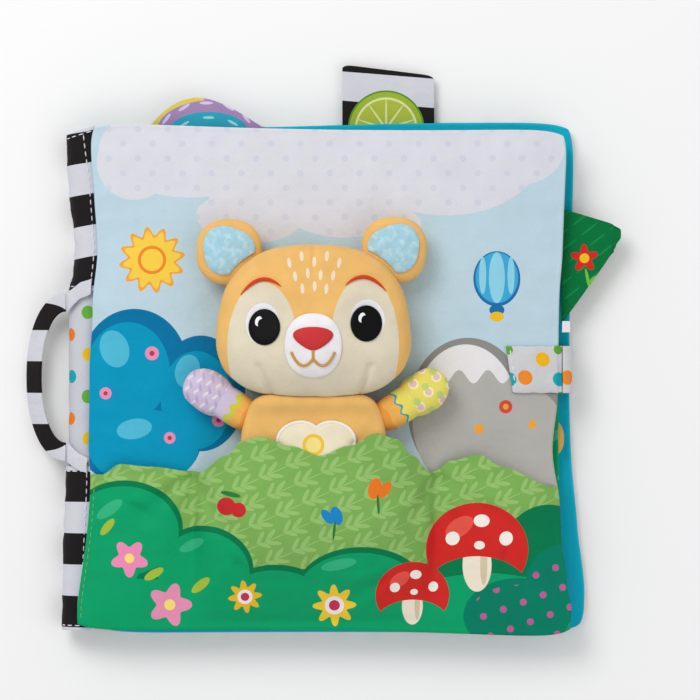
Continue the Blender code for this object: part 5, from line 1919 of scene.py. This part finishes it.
def bands_art(pitch: float, shift: float, across: bool) -> Artwork:
    """Make a print of white bands on black tape.

    Args:
        pitch: width of one black and one white band, in millimetres.
        shift: where the middle of a white band lies.
        across: the bands follow each other along Y, or else along X.

    Returns:
        The print.
    """
    def draw(art: Print) -> None:
        """Ink the white bands.

        Args:
            art: the print to ink.
        """
        tile = art.tile(400, pitch, (0, shift)) if across else art.tile(pitch, 400, (shift, 0))
        half = (150.0, pitch / 4) if across else (pitch / 4, 150.0)
        split = add_node(art.tree, "SeparateXYZ", {0: tile})
        away = add_node(art.tree, "Math", {0: split.outputs[1 if across else 0]}, operation="ABSOLUTE")
        white = add_node(art.tree, "Math", {0: away, 1: half[1 if across else 0]}, operation="DIVIDE")
        art.ink(white.outputs[0], "#D2D2DB")

    return draw


def arch_art(art: Print) -> None:
    """Print the purple arch: a teal inner arch, pale strokes and a yellow edge.

    Args:
        art: the print to ink.
    """
    art.ink(art.shared([art.outside(art.oval(-52, 112.6, 26.3, 14.0)), art.oval(-72, 122, 16, 14)]), "#DDCB5E")
    art.oval_ink("#D8C4EC", (-74, 118, 3.0, 0.7, 52), (-66, 123.2, 3.0, 0.7, 32), (-56, 125.2, 3.0, 0.7),
                 (-46, 123.4, 3.0, 0.7, -32), (-38, 118.4, 3.0, 0.7, -52))
    art.oval_ink("#2FA3BC", (-55, 112, 18, 9.2))
    art.oval_ink("#9ADBE4", (-66, 115.6, 2.6, 0.6, 30), (-55, 118.6, 2.6, 0.6), (-44, 116.2, 2.6, 0.6, -28))


def striped_tab_art(art: Print) -> None:
    """Print the striped tab: black and white bands and a slice of lime.

    Args:
        art: the print to ink.
    """
    art.oval_ink("#D3D3DB", (26.4, 131.7, 300, 6.6, -4.6))
    for colour, radius in (("#5E8F2C", 17.4), ("#9BB53A", 16.6), ("#DCE4A0", 14.2), ("#AEBB45", 13.2)):
        art.oval_ink(colour, (25.4, 114.0, radius, radius))
    art.oval_ink("#DCE4A0", *[(25.4, 114.0, 0.5, 13.6, turn) for turn in (0, 36, 72, -36, -72)])


def corner_tab_art(art: Print) -> None:
    """Print the green tab: leaf veins and a red flower.

    Args:
        art: the print to ink.
    """
    art.ink(art.oval(0, 0, 4.6, 0.45, point=art.tile(12, 6, (2, 1), 38)), "#0F8A48")
    art.ink(art.petals(115, 55, 6.4, 5, 0.24, 20), "#D42A26")
    art.oval_ink("#F0C020", (115, 55, 2.2, 2.2))
    art.oval_ink("#6FBF4A", (116.5, 45.5, 0.7, 5.0, 12), (119.5, 45.5, 2.6, 1.1, 35))


def leaf_art(art: Print) -> None:
    """Print the inner leaf: a green ground with pale leaves and dots."""
    art.ink(art.oval(0, 0, 7, 2.2, point=art.tile(24, 18, (3, 4), 28)), "#3FB277")
    art.ink(art.oval(0, 0, 1.6, 1.6, point=art.tile(24, 18, (14, 12), 28)), "#F0C020")


def face_art(art: Print) -> None:
    """Print the bear's face: the cream mask and pale dashes on its forehead.

    Args:
        art: the print to ink.
    """
    mask = art.joined([art.oval(-29.6, 14.5, 15.7, 29), art.oval(15.4, 15.5, 15.2, 30.5), art.oval(-7.2, 0, 22, 25)])
    art.ink(mask, "#E2D7BF")
    art.oval_ink("#F1DEC6", *[(-6.8 + x, y, 0.85, 2.3, -x) for x, y in (
        (-11, 52), (-5.6, 55), (0, 52.5), (5.6, 55), (11, 52), (-8.4, 46), (-2.8, 47.4), (2.8, 46.6), (8.4, 46.4),
        (-5.2, 40.6), (0.2, 41.6), (5.4, 40.4))])
    art.oval_ink("#EDEDF2", (-29.5, 24.9, 7.5, 9.3), (16.7, 26.6, 7.6, 9.2))


def ear_painted_highlights_art(art: Print) -> None:
    """Paint pale strokes that stand in for the shine on the lining's glossy crinkles: painted highlights.

    Args:
        art: the print to ink.
    """
    # Painted highlights: pale strokes in place of the shine on the satin's crinkles.
    for shift, turn in (((1, 2), 35), ((4.2, 0.4), 70), ((2.6, 4.4), -20)):
        art.ink(art.oval(0, 0, 1.9, 0.8, turn, art.tile(6.4, 5.6, shift, turn / 2)), "#DCEEF3", 0.22)


def eye_art(art: Print) -> None:
    """Stitch each eye's highlight, a small moon.

    Args:
        art: the print to ink.
    """
    for x, y in ((-31.3, 26.2), (14.3, 27.8)):
        moon = art.shared([art.oval(x, y, 1.5, 2.2, -18), art.outside(art.oval(x + 1.1, y - 0.9, 1.4, 2.0, -18))])
        art.ink(moon, "#F4F4F6")


def belly_art(art: Print) -> None:
    """Print the round mark on the tummy that shows where to press."""
    art.oval_ink("#F0C64A", (-7.2, -28.6, 4.9, 4.9))
    art.oval_ink("#F8E08A", (-7.2, -28.6, 3.4, 3.4))


def sleeve_art(side: Side) -> Artwork:
    """Make a sleeve's print: a scalloped line before the paw, and painted shade over its root, where the sleeve meets
    the torso.

    Args:
        side: which arm.

    Returns:
        The print.
    """
    def draw(art: Print) -> None:
        """Ink the painted shade at the root, then the scalloped lines.

        Args:
            art: the print to ink.
        """
        turned_to_arm(art, side, 0)
        # Painted shade: a darker orange over the sleeve's root, where it meets the torso.
        art.ink(art.below(-5.5, 0.5, 9), "#E98F34", 0.6)
        cuff = (-1.6, "#CFCB45", "#CEC1DA") if side is Side.LEFT else (0.0, "#2AA5B4", "#EBDD68")
        art.ink(art.outside(art.below(cuff[0], 0.8, 5.2)), cuff[1])
        art.ink(art.outside(art.below(1.0, 1.0, 5.2)), cuff[2])

    return draw


def turned_to_arm(art: Print, side: Side, ahead: float) -> None:
    """Turn a print so that Y runs along an arm, from its middle or so far ahead of it.

    Args:
        art: the print to turn.
        side: which arm.
        ahead: millimetres from the arm's middle.
    """
    turn = side.arm_degrees
    out = 38.0 if side is Side.RIGHT else 35.8
    x = -7.2 + side.value * out + ahead * math.cos(math.radians(turn))
    y = -12.2 + ahead * math.sin(math.radians(turn))
    art.point = add_node(art.tree, "Mapping", {0: art.point, 1: (x, y, 0), 2: (0, 0, math.radians(turn - 90))},
                         vector_type="TEXTURE").outputs[0]
    split = add_node(art.tree, "SeparateXYZ", {0: art.point})
    art.x, art.y = split.outputs[0], split.outputs[1]


def paw_art(side: Side) -> Artwork:
    """Make a paw's print: small strokes on lilac, or rings on yellow.

    Args:
        side: which arm.

    Returns:
        The print.
    """
    def draw(art: Print) -> None:
        """Ink the strokes or rings.

        Args:
            art: the print to ink.
        """
        turned_to_arm(art, side, 12.8)
        if side is Side.LEFT:
            art.ink(art.oval(0, 0, 1.7, 0.6, 25, art.tile(5.2, 4.4, (1, 0), 15)), "#B39CCB", 0.6)
            art.ink(art.oval(0, 0, 1.6, 0.6, -35, art.tile(5.2, 4.4, (3.6, 2.2), 15)), "#EFE6F4", 0.75)
        else:
            art.ink(art.oval(0, 0, 2.3, 2.3, point=art.tile(7.6, 7.6, (1, 2), 30)), "#F3F0C2")
            art.ink(art.oval(0, 0, 1.5, 1.5, point=art.tile(7.6, 7.6, (1, 2), 30)), "#EBC0BE")
            art.ink(art.oval(0, 0, 1.7, 1.7, point=art.tile(7.6, 7.6, (4.8, 5.8), 30)), "#C3D678")

    return draw


@dataclass
class Studio:
    """A pale floor, soft light and the photograph's camera, straight above the book."""

    height: float = 1.77
    aim: Point2 = (0.009, 0.0135)
    lens: float = 200.0

    def build(self) -> None:
        """Add the floor, the lights, the world and the camera."""
        floor = add_mesh("floor", [(x, y, -0.0006) for x, y in ((-4, -4), (4, -4), (4, 4), (-4, 4))],
                         [(0, 1, 2, 3)], [], smooth=False)
        paper = bpy.data.materials.new("studio_paper")
        paper.use_nodes = True
        connect(paper.node_tree, paper.node_tree.nodes["Principled BSDF"],
                {"Base Color": linear("#F8F8F8"), "Roughness": 0.9, "Specular IOR Level": 0.1})
        floor.data.materials.append(paper)
        world = bpy.data.worlds.new("soft_room")
        world.use_nodes = True
        connect(world.node_tree, world.node_tree.nodes["Background"], {0: (1, 1, 1, 1), 1: 0.60})
        scene = bpy.context.scene
        scene.world = world
        for name, place, size, power in (("key", (-0.55, 0.75, 1.1), 0.7, 8.6), ("fill", (0.9, -0.5, 1.3), 1.2, 3.4)):
            lamp = bpy.data.lights.new(name + "_light", "AREA")
            lamp.size, lamp.energy = size, power
            lit = add_object(name + "_light", lamp)
            lit.location = place
            lit.rotation_euler = (-Vector(place)).to_track_quat("-Z", "Y").to_euler()
        eye = bpy.data.cameras.new("camera")
        eye.lens, eye.sensor_width = self.lens, 36.0
        scene.camera = add_object("camera", eye)
        scene.camera.location = (*self.aim, self.height)
        scene.view_settings.view_transform = "Standard"


@dataclass
class SoundModule:
    """The case, cells, board, speaker and button in the torso, which stay as the frame's own solids."""

    cells: int = 3

    def dress(self) -> None:
        """Give each part its moulded, masked or plated finish."""
        # Spark-eroded ABS moulds leave a fine, even grain that takes the shine off white plastic.
        white = Moulded("white_abs", "#E4E4E0", roughness=0.5).material()
        looks = {"sound_case_front": white, "sound_case_back": white, "battery_door": white,
                 "tummy_button": Moulded("button_abs", "#DADAD6", roughness=0.4).material(),
                 "door_screw": Moulded("screw_steel", "#B9BBBD", 0.35, 1.0, 0.3, True).material(),
                 "speaker": Moulded("speaker_abs", "#2A2A2C", roughness=0.55).material(),
                 "circuit_board": Moulded("board_mask", "#1F6B3A", roughness=0.4).material()}
        # Rolled and plated steel shows the lines of its rolling as a streaked shine.
        can = Moulded("cell_can", "#C6C8CA", 0.28, 1.0, 0.4, True).material()
        looks.update({"button_cell_%d" % (number + 1): can for number in range(self.cells)})
        for name, made in looks.items():
            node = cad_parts[name]
            node.data.materials.clear()
            node.data.materials.append(made)
            LOG.info("%s is finished as %s", name, made.name)


def main() -> None:
    """Build the book's looks from the back cover up, then the studio."""
    logging.basicConfig(level=logging.INFO, format="%(name)s: %(message)s", stream=sys.stdout)
    uv = Flat.UV_MM
    # Heat-printed polyester satin: flat, clear inks under a soft gloss that the threads and crinkles break.
    sky = WovenSatin("sky_printed_satin", "#BDD5E1", sky_art).material()
    teal = WovenSatin("teal_satin", "#0CB0CB", thread_mm=0.6).material()
    dotted = WovenSatin("dotted_satin", "#C9CBD3", dots_art, uv).material()
    outer = WovenSatin("dotted_cover_satin", "#C9CBD3", dots_art).material()
    leaf = WovenSatin("leaf_printed_satin", "#009A63", leaf_art).material()
    meadow = WovenSatin("meadow_printed_satin", "#7FB058", meadow_art).material()
    # Woven polyester tape and strap cloth: the same threads, and the narrow pieces crinkle more tightly.
    sleeve = WovenSatin("striped_sleeve", "#1D191A", bands_art(28.3, 13.9, True), uv).material()
    tape = WovenSatin("striped_handle_tape", "#1D191A", bands_art(28.8, 14.4, False), uv,
                      crinkle_mm=6.0).material()
    white_tape = WovenSatin("white_end_tape", "#D2D2DB", crinkle_mm=6.0).material()
    strap_cloth = WovenSatin("strap_satin", "#CFCFD2", strap_art, uv, crinkle_mm=8.0).material()
    # Hidden layers and closures: matt loose wadding, smooth glossy film, and a matt pile of hooks and loops.
    wadding = ShortPlush("polyester_wadding", "#F2F2EE", tuft_mm=2.5).material()
    film = Moulded("crinkle_film", "#DDE0E4", 0.2, 0.0, 3.0).material()
    pile = ShortPlush("hook_and_loop_tape", "#E2E2E6", tuft_mm=0.6).material()
    # Polyester sewing thread: small glossy ridges that catch the light one by one.
    white_thread = Embroidery("white_sewing_thread", "#E8E8EC").material()
    green_thread = Embroidery("green_sewing_thread", "#86B85E").material()

    back = Panel("back_cover", half_width=0.1090, half_height=0.1152, pinch_sides=0.0030, pinch_ends=0.0006,
                 rim=0.0036, swell_up=0.0029, swell_down=0.00315, seed=1.0, spread=0.0055,
                 right_edge=BACK_RIGHT_EDGE)
    inner = Panel("inner_leaf", half_width=0.1045, half_height=0.1130, pinch_sides=0.0012, pinch_ends=0.0008,
                  rim=0.0112, swell_up=0.0025, swell_down=0.0025, seed=2.0)
    front = Panel("front_cover", half_width=0.1090, half_height=0.1150, pinch_sides=0.0050, pinch_ends=0.0022,
                  rim=0.0179, swell_up=0.0050, swell_down=0.0020, seed=3.0, crown_power=8, columns=140, rows=148,
                  waist=0.0032, flare=0.0045, tilt=0.0016, pucker=0.0011, left_edge=LEFT_EDGE,
                  right_edge=RIGHT_EDGE)
    for panel in (back, inner, front):
        panel.fill()
        LOG.info("%s is filled", panel.name)
    back.sew(teal, outer, wadding, film, ("lining", "outer"), ("teal_satin", "dotted_satin"))
    inner.sew(leaf, leaf, wadding, film, ("front", "back"), ("leaf_satin", "leaf_satin"))
    front.sew(sky, teal, wadding, film, ("face", "lining"), ("sky_satin", "teal_satin"))
    spine = Spine()
    spine.sew(dotted, sleeve, white_thread)
    Handle(spine).make(tape, white_tape)
    GrassPocket(front).sew(meadow, green_thread)
    Strap(front).sew(strap_cloth, pile, white_thread)

    for tab, cloth in (
            (Tab("arch_tab", "arch_tab", "purple_satin", inner.rim, (0.0530, 0.0142), 0.00054, arch_place,
                 "inner_leaf_front", ("inner_leaf", (-0.056, 0.1131), (-0.056, 0.1165))),
             WovenSatin("purple_printed_satin", "#A586B4", arch_art)),
            (Tab("striped_tab", "striped_tab", "striped_tape", back.rim, (0.0418, 0.0278), 0.00105, striped_place,
                 "back_cover_lining", ("back_cover", (0.0264, 0.1156), (0.0264, 0.1195))),
             WovenSatin("striped_tab_satin", "#1D191A", striped_tab_art)),
            (Tab("corner_tab", "corner_tab", "green_satin", inner.rim, (0.0525, 0.0270), 0.00080, corner_place,
                 "inner_leaf_front", ("inner_leaf", (0.1043, 0.0512), (0.1085, 0.0512))),
             WovenSatin("green_printed_satin", "#00733B", corner_tab_art)),
            (Tab("side_label", "front_cover", "white_label", front.rim, (0.0050, 0.0036), 0.000018, label_place,
                 "front_cover_face"), WovenSatin("label_ribbon", "#E6E6EA", thread_mm=0.5)),
            (Tab("orange_flap", "inner_leaf", "orange_satin", inner.rim, (0.0139, 0.0026), 0.000036, flap_place,
                 "inner_leaf_front"), WovenSatin("orange_satin", "#E2AC62", thread_mm=0.5))):
        tab.sew(cloth.material())

    # Brushed plush looks soft and dull beside the satins, and the rayon stitches shine against it.
    bear = Bear()
    peach = ShortPlush("peach_knitted_plush", "#EDBB6E")
    cream = ShortPlush("cream_knitted_plush", "#F0E4C8", belly_art)
    bear.sew_torso(peach.material(), cream.material(),
                   Embroidery("white_piping", "#F4F0E8").material())
    bear.sew_head({
        "face": ShortPlush("face_knitted_plush", "#EDBB6E", face_art, 0.8, 37.5).material(),
        "ear": ShortPlush("ear_knitted_plush", "#EDBB6E").material(),
        "ear_satin": WovenSatin("ear_lining_satin", "#A5D0DE", ear_painted_highlights_art, thread_mm=0.5, crinkle_mm=4.5,
                                roughness=0.42).material(),
        "eye": Embroidery("eye_thread", "#060506", eye_art).material(),
        "muzzle": ShortPlush("muzzle_knitted_plush", "#F0EDF0", tuft_mm=0.6).material(),
        "nose": Embroidery("nose_thread", "#CC3638").material(),
        "mouth": Embroidery("mouth_thread", "#CB9A50").material(),
        "brow": Embroidery("brow_thread", "#D8431F").material()})
    for side, out, colour, slot in ((Side.LEFT, 0.0358, "#CEC1DA", "lilac_plush"),
                                    (Side.RIGHT, 0.0380, "#EBDD68", "yellow_plush")):
        bear.sew_arm(side, out, ShortPlush("sleeve_knitted_plush_" + side.word, "#F0B45A",
                                           sleeve_art(side)).material(),
                     ShortPlush("paw_knitted_plush_" + side.word, colour, paw_art(side)).material(), slot)
    SoundModule().dress()
    Studio().build()


if __name__ == "__main__":
    main()
